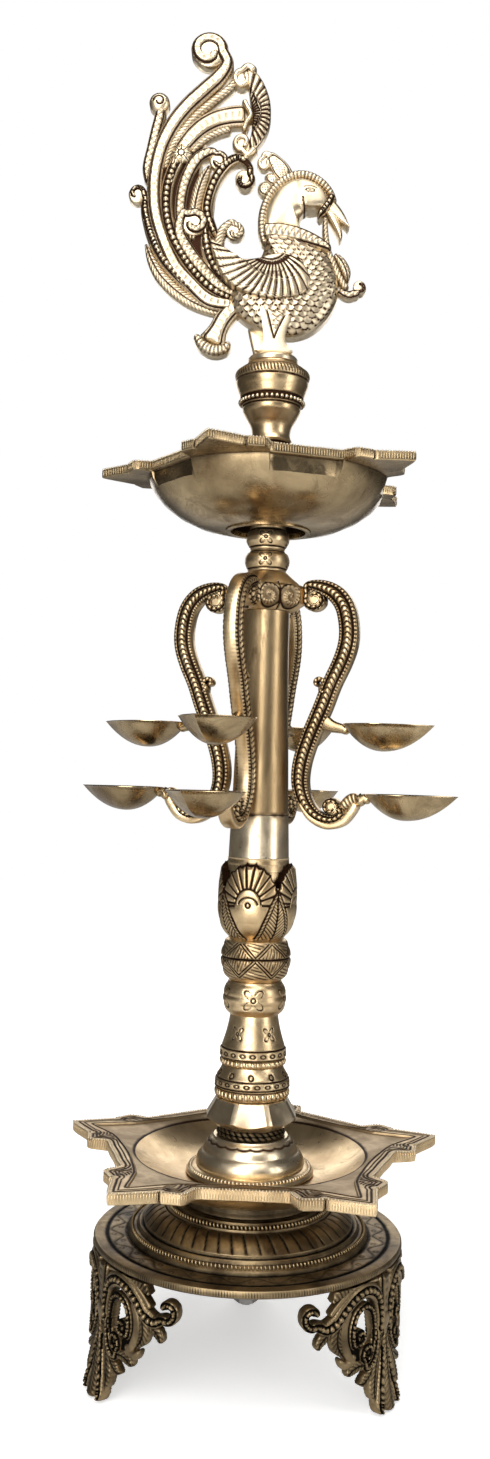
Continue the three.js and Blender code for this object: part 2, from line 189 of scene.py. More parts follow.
class BrassPatina:
    """The shared shader group: clean metal, handling stains, dark wash and painted shade in recesses, and
    rubbed edges.
    """

    NAME = "brass_patina"
    SOCKETS = (("Bright", "INPUT", "Color"), ("Metal", "INPUT", "Color"), ("Wash And Shade", "INPUT", "Color"),
        ("Gloss", "INPUT", "Float"), ("Patch Scale", "INPUT", "Float"), ("Streak", "INPUT", "Float"),
        ("Stain", "INPUT", "Float"), ("Cavity", "INPUT", "Float"), ("Rub", "INPUT", "Float"),
        ("Color", "OUTPUT", "Color"), ("Roughness", "OUTPUT", "Float"), ("Height", "OUTPUT", "Float"))
    CAVITY_REACH = 2.6 * MM

    @classmethod
    @cache
    def tree(cls) -> bpy.types.NodeTree:
        """Builds the group's nodes on first use.

        Returns:
            The finished node tree.
        """
        g, given, sink = open_group(cls.NAME, "ShaderNodeTree", cls.SOCKETS)
        squash = g.add("ShaderNodeCombineXYZ", {"X": 1.0, "Y": 1.0, "Z": given["Streak"]})
        here = g.add("ShaderNodeTexCoord").outputs["Object"]
        place = g.add("ShaderNodeVectorMath", {0: here, 1: squash.outputs[0]},
            operation="MULTIPLY").outputs[0]
        patch = g.add("ShaderNodeTexNoise", {"Vector": place, "Scale": given["Patch Scale"], "Detail": 5.0,
            "Roughness": 0.62, "Distortion": 0.6}).outputs["Fac"]
        speck = g.add("ShaderNodeTexNoise", {"Vector": place, "Scale": 900.0, "Detail": 3.0,
            "Roughness": 0.7}).outputs["Fac"]
        smear_scale = g.math("MULTIPLY", given["Patch Scale"], 3.1)
        smear = g.add("ShaderNodeTexNoise", {"Vector": place, "Scale": smear_scale, "Detail": 6.0,
            "Roughness": 0.7, "Distortion": 1.2}).outputs["Fac"]
        # Painted shade: ambient occlusion darkens the colour towards the dark wash in recesses and corners.
        hollow = g.add("ShaderNodeAmbientOcclusion", {"Distance": cls.CAVITY_REACH}, samples=8,
            only_local=True).outputs["AO"]
        # Painted dark wash and shade from the mesh: engraving, shadow sheets, and shade behind beads and in
        # hollows.
        wash_and_shade_mask = g.add("ShaderNodeAttribute", attribute_name="wash_and_shade").outputs["Fac"]
        edge = g.add("ShaderNodeNewGeometry").outputs["Pointiness"]

        shade = g.remap(hollow, 0.93, 0.4)
        shade = g.math("MAXIMUM", shade, wash_and_shade_mask)
        shade = g.math("MULTIPLY", shade, g.remap(smear, 0.25, 0.6, 1.1, 1.7))
        shade = g.math("MULTIPLY", shade, given["Cavity"], clamp=True)
        stain = g.math("MULTIPLY", g.remap(smear, 0.5, 0.72), g.remap(patch, 0.45, 0.62))
        stain = g.math("MULTIPLY", stain, given["Stain"], clamp=True)
        freckle = g.math("MULTIPLY", g.remap(speck, 0.63, 0.74), g.math("MULTIPLY", given["Stain"], 0.5))
        rubbed = g.math("MULTIPLY", g.remap(edge, 0.52, 0.6), given["Rub"], clamp=True)

        color = g.blend(g.remap(patch, 0.35, 0.66), given["Metal"], given["Bright"])
        color = g.blend(stain, color, given["Wash And Shade"])
        color = g.blend(freckle, color, given["Wash And Shade"])
        color = g.blend(rubbed, color, given["Bright"])
        color = g.blend(shade, color, given["Wash And Shade"])
        rough = g.math("ADD", given["Gloss"], g.remap(smear, 0.3, 0.75, 0.0, 0.14))
        rough = g.math("ADD", rough, g.math("MULTIPLY", g.math("MAXIMUM", shade, stain), 0.3))
        rough = g.math("SUBTRACT", rough, g.math("MULTIPLY", rubbed, 0.08), clamp=True)
        height = g.math("ADD", g.math("MULTIPLY", speck, 0.35), smear)
        g.feed(sink, "Color", color)
        g.feed(sink, "Roughness", rough)
        g.feed(sink, "Height", height)
        return g.tree


@dataclass(frozen=True)
class BrassFinish:
    """One finish of the metal.

    Attributes:
        name: The material's name.
        bright: Colour of the clean, rubbed metal.
        metal: Colour of the ordinary surface.
        wash_and_shade: Colour of the dirt and antique wash, and of the painted shade.
        gloss: Roughness of the clean metal.
        patch: Size of the tone patches, as a noise scale per metre.
        stain: Strength of the handling stains.
        cavity: Strength of the dark wash and painted shade in recesses.
        rub: Strength of the bright edges.
        bump: Depth of the surface's unevenness, in millimetres.
        streak: How long patches are upright; 1 is round, less is longer.
    """

    name: str
    bright: tuple[float, float, float]
    metal: tuple[float, float, float]
    wash_and_shade: tuple[float, float, float]
    gloss: float
    patch: float = 28.0
    stain: float = 0.4
    cavity: float = 1.0
    rub: float = 0.5
    bump: float = 0.05
    streak: float = 1.0

    @cache
    def material(self) -> bpy.types.Material:
        """Builds the shader around the shared patina group on first use.

        Returns:
            The finished material.
        """
        material = bpy.data.materials.new(self.name)
        material.use_nodes = True
        material.node_tree.nodes.clear()
        g = Graph(material.node_tree)
        patina = g.add("ShaderNodeGroup", node_tree=BrassPatina.tree())
        values = {"Bright": (*self.bright, 1), "Metal": (*self.metal, 1), "Wash And Shade": (*self.wash_and_shade, 1),
            "Gloss": self.gloss, "Patch Scale": self.patch, "Streak": self.streak, "Stain": self.stain,
            "Cavity": self.cavity, "Rub": self.rub}
        for key, value in values.items():
            g.feed(patina, key, value)
        bump = g.add("ShaderNodeBump", {"Strength": 0.6, "Distance": self.bump * MM,
            "Height": patina.outputs["Height"]})
        shader = g.add("ShaderNodeBsdfPrincipled", {"Base Color": patina.outputs["Color"],
            "Roughness": patina.outputs["Roughness"], "Metallic": 1.0, "Normal": bump.outputs["Normal"]})
        g.add("ShaderNodeOutputMaterial", {"Surface": shader.outputs["BSDF"]})
        material.diffuse_color = (*self.metal, 1)
        return material


PALE = BrassFinish("pale_antique_brass", (0.86, 0.73, 0.52), (0.60, 0.47, 0.31), (0.040, 0.018, 0.010),
    0.30, patch=35, stain=0.4, rub=0.5)
GOLDEN = BrassFinish("golden_brass", (0.80, 0.61, 0.36), (0.50, 0.345, 0.18), (0.035, 0.016, 0.008), 0.25,
    patch=24, stain=0.55, rub=0.5)
SHAFT = BrassFinish("streaked_brass", (0.62, 0.455, 0.25), (0.22, 0.14, 0.066), (0.045, 0.02, 0.009), 0.30,
    patch=26, stain=1.0, rub=0.3, streak=0.2)
OLIVE = BrassFinish("olive_brass", (0.62, 0.47, 0.27), (0.20, 0.135, 0.068), (0.03, 0.016, 0.009), 0.20,
    patch=17, stain=0.8, rub=0.5)
AGED = BrassFinish("antique_gold_brass", (0.82, 0.63, 0.38), (0.47, 0.325, 0.17), (0.022, 0.010, 0.005),
    0.29, patch=32, stain=0.6, rub=0.6)
SILVERY = BrassFinish("silvery_brass", (0.94, 0.80, 0.57), (0.68, 0.52, 0.33), (0.06, 0.03, 0.015), 0.25,
    patch=20, stain=0.5, rub=0.4)
BRONZE = BrassFinish("dark_bronze", (0.36, 0.265, 0.145), (0.078, 0.054, 0.030), (0.005, 0.004, 0.003),
    0.36, patch=40, stain=0.5, rub=1.0)
# The darkest finish; on the tray's foot drum it is painted shade, since the drum sits in the tray's shadow.
SOOT_AND_SHADE = BrassFinish("sooty_shaded_brass", (0.16, 0.12, 0.07), (0.045, 0.032, 0.02), (0.008, 0.006, 0.004), 0.5,
    patch=60, stain=0.6, rub=0.4)
STEEL = BrassFinish("grey_steel", (0.30, 0.29, 0.28), (0.14, 0.135, 0.13), (0.03, 0.025, 0.02), 0.45)


# Meshes
def signed_volume(points: Array, faces: Sequence[Array]) -> float:
    """Six times the volume inside closed faces, positive if they point outwards."""
    total = 0.0
    for group in faces:
        for k in range(1, group.shape[1] - 1):
            a, b, c = points[group[:, 0]], points[group[:, k]], points[group[:, k + 1]]
            total += float(np.einsum("ij,ij->i", a, np.cross(b, c)).sum())
    return total


def plain_mesh(name: str, points: Array, faces: Sequence[Array], wash_and_shade: Array | None = None,
        sharp: float = 42.0) -> bpy.types.Mesh:
    """Makes a closed mesh with its faces outwards.

    Args:
        name: The mesh's name.
        points: Corner points in millimetres.
        faces: Arrays of corner numbers, one array for each number of corners.
        wash_and_shade: How dark each point is painted, 0 to 1: dark wash in engraving and painted shade.
        sharp: Edges bent further than this many degrees stay crisp.

    Returns:
        The mesh, in metres.
    """
    faces = [group for group in faces if len(group)]
    if signed_volume(points, faces) < 0:
        faces = [group[:, ::-1] for group in faces]
    corners = np.concatenate([group.ravel() for group in faces]).astype(np.int32)
    sizes = np.concatenate([np.full(len(group), group.shape[1]) for group in faces])
    mesh = bpy.data.meshes.new(name)
    mesh.vertices.add(len(points))
    mesh.vertices.foreach_set("co", (points * MM).astype(np.float32).ravel())
    mesh.loops.add(len(corners))
    mesh.loops.foreach_set("vertex_index", corners)
    mesh.polygons.add(len(sizes))
    mesh.polygons.foreach_set("loop_start", (np.cumsum(sizes) - sizes).astype(np.int32))
    mesh.update(calc_edges=True)
    if wash_and_shade is not None:
        layer = mesh.attributes.new("wash_and_shade", "FLOAT", "POINT")
        layer.data.foreach_set("value", np.clip(wash_and_shade, 0, 1).astype(np.float32))
    mesh.validate()
    mesh.shade_smooth()
    mesh.set_sharp_from_angle(angle=math.radians(sharp))
    return mesh


def place(name: str, mesh: bpy.types.Mesh, finish: BrassFinish, body: Body, slot: Slot,
        *nodes: str) -> None:
    """Puts a finished piece in the scene and hands it to the frame.

    Args:
        name: The piece's name.
        mesh: Its mesh, in place.
        finish: Its finish.
        body: The body it rides on.
        slot: The record slot of its finish; not used.
        *nodes: The model's nodes that it stands for.
    """
    piece = bpy.data.objects.new(name, mesh)
    bpy.context.scene.collection.objects.link(piece)
    if not mesh.materials:
        mesh.materials.append(finish.material())
    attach(piece, body.value)
    if nodes:
        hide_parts(*nodes)
    LOG.info("%s: %d faces", name, len(mesh.polygons))


def seat(node: str) -> float:
    """Height of the lowest point of a node of the model, in millimetres."""
    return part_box(node)[0][2] / MM


def torus_faces(rows: int, columns: int) -> Array:
    """Quads of a grid of points that closes on itself both ways."""
    row = np.arange(rows)[:, None]
    column = np.arange(columns)[None, :]
    next_row, next_column = (row + 1) % rows, (column + 1) % columns
    quads = [row * columns + column, next_row * columns + column, next_row * columns + next_column,
        row * columns + next_column]
    return np.stack([np.broadcast_to(q, (rows, columns)) for q in quads], axis=-1).reshape(-1, 4)


def tube_faces(rows: int, columns: int) -> list[Array]:
    """Faces of a tube of closed rows, fanned shut by two extra points at the end of the list.

    Args:
        rows: Number of closed rows of points.
        columns: Number of points in a row.

    Returns:
        The tube's quads and the two fans' triangles.
    """
    loop, last = np.arange(columns), (rows - 1) * columns
    following = (loop + 1) % columns
    start = np.stack([following, loop, np.full(columns, rows * columns)], axis=1)
    stop = np.stack([last + loop, last + following, np.full(columns, rows * columns + 1)], axis=1)
    return [torus_faces(rows, columns)[:last], np.vstack([start, stop])]


def smooth_line(points: Sequence[Sequence[float]], steps: int, closed: bool = False) -> Array:
    """A centripetal-looking Catmull-Rom line through points.

    Args:
        points: Rows of values, of which any number may follow the line.
        steps: Number of pieces between one point and the next.
        closed: Whether the last point joins the first.

    Returns:
        The line's points.
    """
    p = np.array(points, float)
    padded = np.vstack([p[-1], p, p[0], p[1]]) if closed else np.vstack([2 * p[0] - p[1], p,
        2 * p[-1] - p[-2]])
    t = np.linspace(0, 1, steps, endpoint=False)[:, None]
    out = []
    for a, b, c, d in zip(padded, padded[1:], padded[2:], padded[3:]):
        out.append(0.5 * (2 * b + (c - a) * t + (2 * a - 5 * b + 4 * c - d) * t**2
            + (3 * b - 3 * c + d - a) * t**3))
    line = np.vstack(out)
    return line if closed else np.vstack([line, p[-1]])


# Strings of small shapes
class Strings:
    """The Geometry Nodes trees that repeat a small shape, and the running of them."""

    @staticmethod
    def _finish(g: Graph, sink: bpy.types.Node, shape: object, material: object) -> None:
        """Ends a tree: real geometry, shading and material.

        Args:
            g: The tree's graph.
            sink: Its output node.
            shape: Socket of the geometry.
            material: Socket of the material.
        """
        real = g.add("GeometryNodeRealizeInstances", {0: shape})
        shaded = g.add("GeometryNodeSetShadeSmooth", {"Geometry": real.outputs[0], "Shade Smooth": True})
        dressed = g.add("GeometryNodeSetMaterial", {"Geometry": shaded.outputs[0], "Material": material})
        g.feed(sink, "Geometry", dressed.outputs[0])

    @classmethod
    @cache
    def bead_ring(cls) -> bpy.types.NodeTree:
        """Beads set round the axis, each turned outwards and leaning sideways.

        Returns:
            The node tree, made on first use.
        """
        g, given, sink = open_group("bead_ring", "GeometryNodeTree", (("Radius", "INPUT", "Float"),
            ("Height", "INPUT", "Float"), ("Count", "INPUT", "Int"), ("Size", "INPUT", "Vector"),
            ("Lean", "INPUT", "Float"), ("Material", "INPUT", "Material"),
            ("Geometry", "OUTPUT", "Geometry")))
        ring = g.add("GeometryNodeMeshCircle", {"Vertices": given["Count"], "Radius": given["Radius"]})
        lift = g.add("ShaderNodeCombineXYZ", {"Z": given["Height"]})
        raised = g.add("GeometryNodeSetPosition", {"Geometry": ring.outputs[0], "Offset": lift.outputs[0]})
        here = g.add("GeometryNodeInputPosition").outputs[0]
        outwards = g.add("ShaderNodeVectorMath", {0: here, 1: (1, 1, 0)}, operation="MULTIPLY")
        facing = g.add("FunctionNodeAlignRotationToVector", {"Vector": outwards.outputs[0]}, axis="X",
            pivot_axis="Z")
        lean = g.add("ShaderNodeCombineXYZ", {"X": given["Lean"]})
        lean_turn = g.add("FunctionNodeEulerToRotation", {0: lean.outputs[0]})
        turn = g.add("FunctionNodeRotateRotation", {0: facing.outputs[0], 1: lean_turn.outputs[0]},
            rotation_space="LOCAL")
        bead = g.add("GeometryNodeMeshUVSphere", {"Segments": 8, "Rings": 5, "Radius": 1.0})
        beads = g.add("GeometryNodeInstanceOnPoints", {"Points": raised.outputs[0],
            "Instance": bead.outputs[0], "Rotation": turn.outputs[0], "Scale": given["Size"]})
        cls._finish(g, sink, beads.outputs[0], given["Material"])
        return g.tree

    @classmethod
    @cache
    def notch_row(cls) -> bpy.types.NodeTree:
        """Small bars or beads evenly spaced along a line.

        Returns:
            The node tree, made on first use.
        """
        g, given, sink = open_group("notch_row", "GeometryNodeTree", (("Geometry", "INPUT", "Geometry"),
            ("Count", "INPUT", "Int"), ("Size", "INPUT", "Vector"), ("Material", "INPUT", "Material"),
            ("Geometry", "OUTPUT", "Geometry")))
        line = g.add("GeometryNodeMeshToCurve", {0: given["Geometry"]})
        even = g.add("GeometryNodeResampleCurve", {"Curve": line.outputs[0], "Count": given["Count"]})
        heading = g.add("GeometryNodeInputTangent").outputs[0]
        turn = g.add("FunctionNodeAxesToRotation", {"Primary Axis": heading, "Secondary Axis": (0, 0, 1)},
            primary_axis="X", secondary_axis="Z")
        bead = g.add("GeometryNodeMeshUVSphere", {"Segments": 6, "Rings": 4, "Radius": 1.0})
        bars = g.add("GeometryNodeInstanceOnPoints", {"Points": even.outputs[0],
            "Instance": bead.outputs[0], "Rotation": turn.outputs[0], "Scale": given["Size"]})
        cls._finish(g, sink, bars.outputs[0], given["Material"])
        return g.tree

    @classmethod
    @cache
    def fluted_dome(cls) -> bpy.types.NodeTree:
        """A ring with a domed, fluted top, closed all round.

        A grid is bent into the ring: one way runs round the axis, the other goes over the top from
        the outer edge to the inner one and back underneath.

        Returns:
            The node tree, made on first use.
        """
        floats = ("Outer Radius", "Outer Height", "Inner Radius", "Inner Height", "Dome", "Thickness",
            "Groove Depth", "Sweep")
        g, given, sink = open_group("fluted_dome", "GeometryNodeTree",
            (*((label, "INPUT", "Float") for label in floats), ("Count", "INPUT", "Int"),
            ("Material", "INPUT", "Material"), ("Geometry", "OUTPUT", "Geometry")))
        columns = g.math("ADD", g.math("MULTIPLY", given["Count"], 12), 1)
        grid = g.add("GeometryNodeMeshGrid", {"Size X": 1.0, "Size Y": 1.0, "Vertices X": columns,
            "Vertices Y": 61})
        here = g.add("ShaderNodeSeparateXYZ", {0: g.add("GeometryNodeInputPosition").outputs[0]})
        round_share = g.math("ADD", here.outputs["X"], 0.5)
        loop_share = g.math("ADD", here.outputs["Y"], 0.5)
        across = g.math("SUBTRACT", 1.0, g.math("ABSOLUTE", g.math("SUBTRACT",
            g.math("MULTIPLY", loop_share, 2.0), 1.0)))
        top = g.math("LESS_THAN", loop_share, 0.5001)
        rise = g.math("SINE", g.math("MULTIPLY", across, math.pi))
        bent = g.math("ADD", g.math("MULTIPLY", round_share, given["Count"]),
            g.math("MULTIPLY", across, given["Sweep"]))
        phase = g.math("ABSOLUTE", g.math("SUBTRACT", g.math("FRACT", bent), 0.5))
        groove = g.math("POWER", g.math("MULTIPLY", phase, 2.0), 7.0)
        fade = g.remap(rise, 0.05, 0.3)
        depth = g.math("MULTIPLY", g.math("MULTIPLY", groove, fade), g.math("MULTIPLY",
            given["Groove Depth"], top))
        wall = g.math("MULTIPLY", g.math("SUBTRACT", loop_share, 0.5), 25.0, clamp=True)
        wall = g.math("MULTIPLY", wall, g.math("MULTIPLY", g.math("SUBTRACT", 1.0, loop_share), 25.0,
            clamp=True))
        radius = g.add("ShaderNodeMapRange", {"Value": across, "To Min": given["Outer Radius"],
            "To Max": given["Inner Radius"]}).outputs[0]
        height = g.add("ShaderNodeMapRange", {"Value": across, "To Min": given["Outer Height"],
            "To Max": given["Inner Height"]}).outputs[0]
        height = g.math("ADD", height, g.math("MULTIPLY", given["Dome"], rise))
        height = g.math("SUBTRACT", height, depth)
        height = g.math("SUBTRACT", height, g.math("MULTIPLY", wall, given["Thickness"]))
        angle = g.math("MULTIPLY", round_share, TURN)
        spot = g.add("ShaderNodeCombineXYZ", {"X": g.math("MULTIPLY", radius, g.math("COSINE", angle)),
            "Y": g.math("MULTIPLY", radius, g.math("SINE", angle)), "Z": height})
        wash_and_shade_mask = g.add("GeometryNodeStoreNamedAttribute", {"Geometry": grid.outputs[0], "Name": "wash_and_shade",
            "Value": g.math("MULTIPLY", g.math("MULTIPLY", groove, fade), top)}, data_type="FLOAT",
            domain="POINT")
        bent_ring = g.add("GeometryNodeSetPosition", {"Geometry": wash_and_shade_mask.outputs[0],
            "Position": spot.outputs[0]})
        closed = g.add("GeometryNodeMergeByDistance", {"Geometry": bent_ring.outputs[0], "Distance": 5e-6})
        cls._finish(g, sink, closed.outputs[0], given["Material"])
        return g.tree

    @staticmethod
    def grow(name: str, tree: bpy.types.NodeTree, values: dict[str, object],
            seed: bpy.types.Mesh | None = None) -> bpy.types.Mesh:
        """Runs a tree once and keeps the plain mesh.

        Args:
            name: The mesh's name.
            tree: The node tree.
            values: The tree's inputs by name.
            seed: The mesh that the tree starts from, if it needs one.

        Returns:
            The finished mesh.
        """
        holder = bpy.data.objects.new(name, seed or bpy.data.meshes.new(name))
        bpy.context.scene.collection.objects.link(holder)
        modifier = holder.modifiers.new("grow", "NODES")
        modifier.node_group = tree
        for item in tree.interface.items_tree:
            if item.item_type == "SOCKET" and item.in_out == "INPUT" and item.name in values:
                modifier[item.identifier] = values[item.name]
        depsgraph = bpy.context.evaluated_depsgraph_get()
        depsgraph.update()
        mesh = bpy.data.meshes.new_from_object(holder.evaluated_get(depsgraph))
        bpy.data.objects.remove(holder)
        points = np.empty(3 * len(mesh.vertices), np.float32)
        mesh.vertices.foreach_get("co", points)
        mesh.calc_loop_triangles()
        corners = np.empty(3 * len(mesh.loop_triangles), np.int32)
        mesh.loop_triangles.foreach_get("vertices", corners)
        if signed_volume(points.reshape(-1, 3), [corners.reshape(-1, 3)]) < 0:
            mesh.flip_normals()
        mesh.name = name
        return mesh


@dataclass(frozen=True)
class BeadRing:
    """A ring of beads round the axis.

    Attributes:
        radius: Radius of the ring of bead centres.
        height: Height of the bead centres.
        count: Number of beads.
        size: Half sizes of a bead: outwards, along the ring, upwards.
        lean: Sideways lean in degrees, as on a rope.
    """

    radius: float
    height: float
    count: int
    size: tuple[float, float, float]
    lean: float = 0.0

    def add(self, name: str, finish: BrassFinish, body: Body, slot: Slot) -> None:
        """Builds the ring and hands it to the frame."""
        mesh = Strings.grow(name, Strings.bead_ring(), {"Radius": self.radius * MM,
            "Height": self.height * MM, "Count": self.count, "Size": [s * MM for s in self.size],
            "Lean": math.radians(self.lean), "Material": finish.material()})
        place(name, mesh, finish, body, slot)


def notch_row(name: str, line: Array, count: int, size: tuple[float, float, float], finish: BrassFinish,
        body: Body, slot: Slot) -> None:
    """Sets small beads along a line of points in millimetres.

    Args:
        name: The piece's name.
        line: The line's points.
        count: Number of beads.
        size: Half sizes of a bead: along the line, across it, and up.
        finish: The piece's finish.
        body: The body it rides on.
        slot: The record slot of its finish.
    """
    seed = bpy.data.meshes.new(f"{name}_line")
    seed.from_pydata([tuple(point * MM) for point in line], [(i, i + 1) for i in range(len(line) - 1)], [])
    mesh = Strings.grow(name, Strings.notch_row(), {"Count": count, "Size": [s * MM for s in size],
        "Material": finish.material()}, seed)
    place(name, mesh, finish, body, slot)


# Chased patterns
def groove(value: Array, at: float, half: float) -> Array:
    """How deep a round-bottomed line at a value is cut, 0 to 1."""
    return np.exp(-(((value - at) / half) ** 2))


def comb(value: Array, pitch: float, half: float) -> Array:
    """Evenly repeated thin lines, 0 to 1."""
    return np.exp(-((((value / pitch + 0.5) % 1.0 - 0.5) * pitch / half) ** 2))


class Chase(Enum):
    """Patterns that run along a cast strap."""

    PLAIN = "plain"
    BEADED = "beaded"
    INLAID = "inlaid"
    ROPED = "roped"
    RIBBED = "ribbed"
    LEAFY = "leafy"
    SCALED = "scaled"
    ZIGZAG = "zigzag"
    PANEL = "panel"
    SHADOW = "shadow"

    def cut(self, across: Array, along: Array, half: Array) -> tuple[Array, Array]:
        """Height over the strap's face, in millimetres, and depth of shade.

        Args:
            across: Place across the strap, from -1 to 1.
            along: Distance along it.
            half: Its half width there.

        Returns:
            The height and the shade, both in the inputs' shape.
        """
        side = np.abs(across) * half
        rim = np.maximum(half - side, 0)
        nothing = np.zeros_like(side)
        if self is Chase.BEADED:
            ball = np.clip(0.42 * half, 0.7, 1.5)
            phase = ((along / (2.2 * ball)) % 1.0 - 0.5) * 2.2 * ball
            bump = np.sqrt(np.clip(1 - (side**2 + phase**2) / ball**2, 0, 1)) * ball * 0.8
            channel = (side < ball + 0.75) * (1 - (bump > 0.2 * ball))
            milled = comb(along, 2.0, 0.4) * (rim < 0.6)
            return bump - 0.6 * channel - 0.2 * milled, np.clip(channel + 0.5 * milled, 0, 1)
        if self is Chase.INLAID:
            border = groove(rim, 0.32 * half, 0.55)
            dash = comb(along, 4.0, 0.8) * (side < 0.2 * half + 0.3)
            milled = comb(along, 2.0, 0.4) * (rim < 0.16 * half)
            return -0.9 * border - 0.35 * dash - 0.15 * milled, np.clip(border + 0.3 * dash + 0.3 * milled,
                0, 1)
        if self is Chase.ROPED:
            twist = comb(along + 0.9 * across * half, 2.5, 0.6)
            return -0.6 * twist, 0.55 * twist
        if self is Chase.RIBBED:
            rib = comb(along, 2.2, 0.5) * (rim > 0.25)
            return -0.55 * rib, 0.6 * rib
        if self is Chase.LEAFY:
            vein = groove(side, 0.0, 0.5)
            rib = comb(along - 1.1 * side, 2.4, 0.5) * (side > 0.5)
            return -0.6 * vein - 0.5 * rib, np.clip(0.8 * vein + 0.5 * rib, 0, 1)
        if self is Chase.SCALED:
            core = 0.36 * half
            scale = comb(along + np.sqrt(np.clip(core**2 - side**2, 0, None)), 3.0, 0.5) * (side < core)
            trench = groove(side, 0.54 * half, 0.14 * half)
            milled = comb(along, 2.0, 0.5) * (rim < 0.3 * half)
            crown = np.sqrt(np.clip(1 - (side / core) ** 2, 0, 1)) * 0.9
            return crown - 0.5 * scale - 1.3 * trench - 0.45 * milled, np.clip(0.9 * scale + trench + 0.85
                * milled, 0, 1)
        if self is Chase.ZIGZAG:
            tooth = np.abs((along / 3.6) % 1.0 - 0.5) * 2.0
            line = groove(0.9 * across + 0.5, tooth, 0.26) * (rim > 1.2)
            border = groove(rim, 0.9, 0.45)
            return -0.45 * line - 0.6 * border, np.clip(0.45 * line + border, 0, 1)
        if self is Chase.PANEL:
            width = np.clip(25 - along, 0, None) * 0.36
            height, shade = scale_rows(across * half, -along, 4.2)
            inside = (side < width - 1.2) & (along < 25)
            border = groove(side, width, 0.5) * (along < 25.5)
            return 0.4 * height * inside - 0.5 * border, np.clip(0.9 * shade * inside + border, 0, 1)
        if self is Chase.SHADOW:
            return nothing, nothing + 1.0
        return nothing, nothing


def scale_rows(x: Array, z: Array, pitch: float = 4.8) -> tuple[Array, Array]:
    """Overlapping round scales that hang downwards.

    Args:
        x: Place across the rows.
        z: Place down the rows.
        pitch: Width of a scale.

    Returns:
        Height and shade.
    """
    radius, rise = 0.62 * pitch, 0.62 * pitch
    height, shade = np.zeros_like(x), np.ones_like(x)
    row = np.floor(z / rise)
    found = np.zeros(x.shape, bool)
    for step in (2, 1, 0):
        level = row + step
        shift = (level % 2) * 0.5 * pitch
        middle = np.round((x - shift) / pitch) * pitch + shift
        away = np.hypot(x - middle, z - level * rise) / radius
        mine = (away < 1) & ~found
        height = np.where(mine, 0.75 * away**1.5, height)
        shade = np.where(mine, groove(away, 1.0, 0.2), shade)
        found |= mine
    return height - 0.3, np.clip(shade, 0, 1)


# Cast straps and plaques
Lay = Callable[[Array, Array, Array], Array]


def upright(angle: float, offset: float = 0.0) -> Lay:
    """A vertical plane through the axis.

    Args:
        angle: Degrees from +X to the plane's outward direction.
        offset: How far the whole plane is moved towards its front.

    Returns:
        The function from (out, up, depth) to points.
    """
    c, s = math.cos(math.radians(angle)), math.sin(math.radians(angle))

    def lay(x: Array, z: Array, depth: Array) -> Array:
        """Points in that plane."""
        deep = depth + offset
        return np.stack([x * c + deep * s, x * s - deep * c, z + 0 * deep], axis=-1)

    return lay


def circle(x: float, z: float, radius: float) -> tuple[tuple[float, float], ...]:
    """Ten points round a centre."""
    return tuple((x + radius * math.cos(a), z + radius * math.sin(a)) for a in np.arange(10) / 10 * TURN)


@dataclass(frozen=True)
class Curl:
    """A snail at a strap's end: its centre, its outer radius and its turns."""

    x: float
    z: float
    radius: float
    turns: float = 1.1


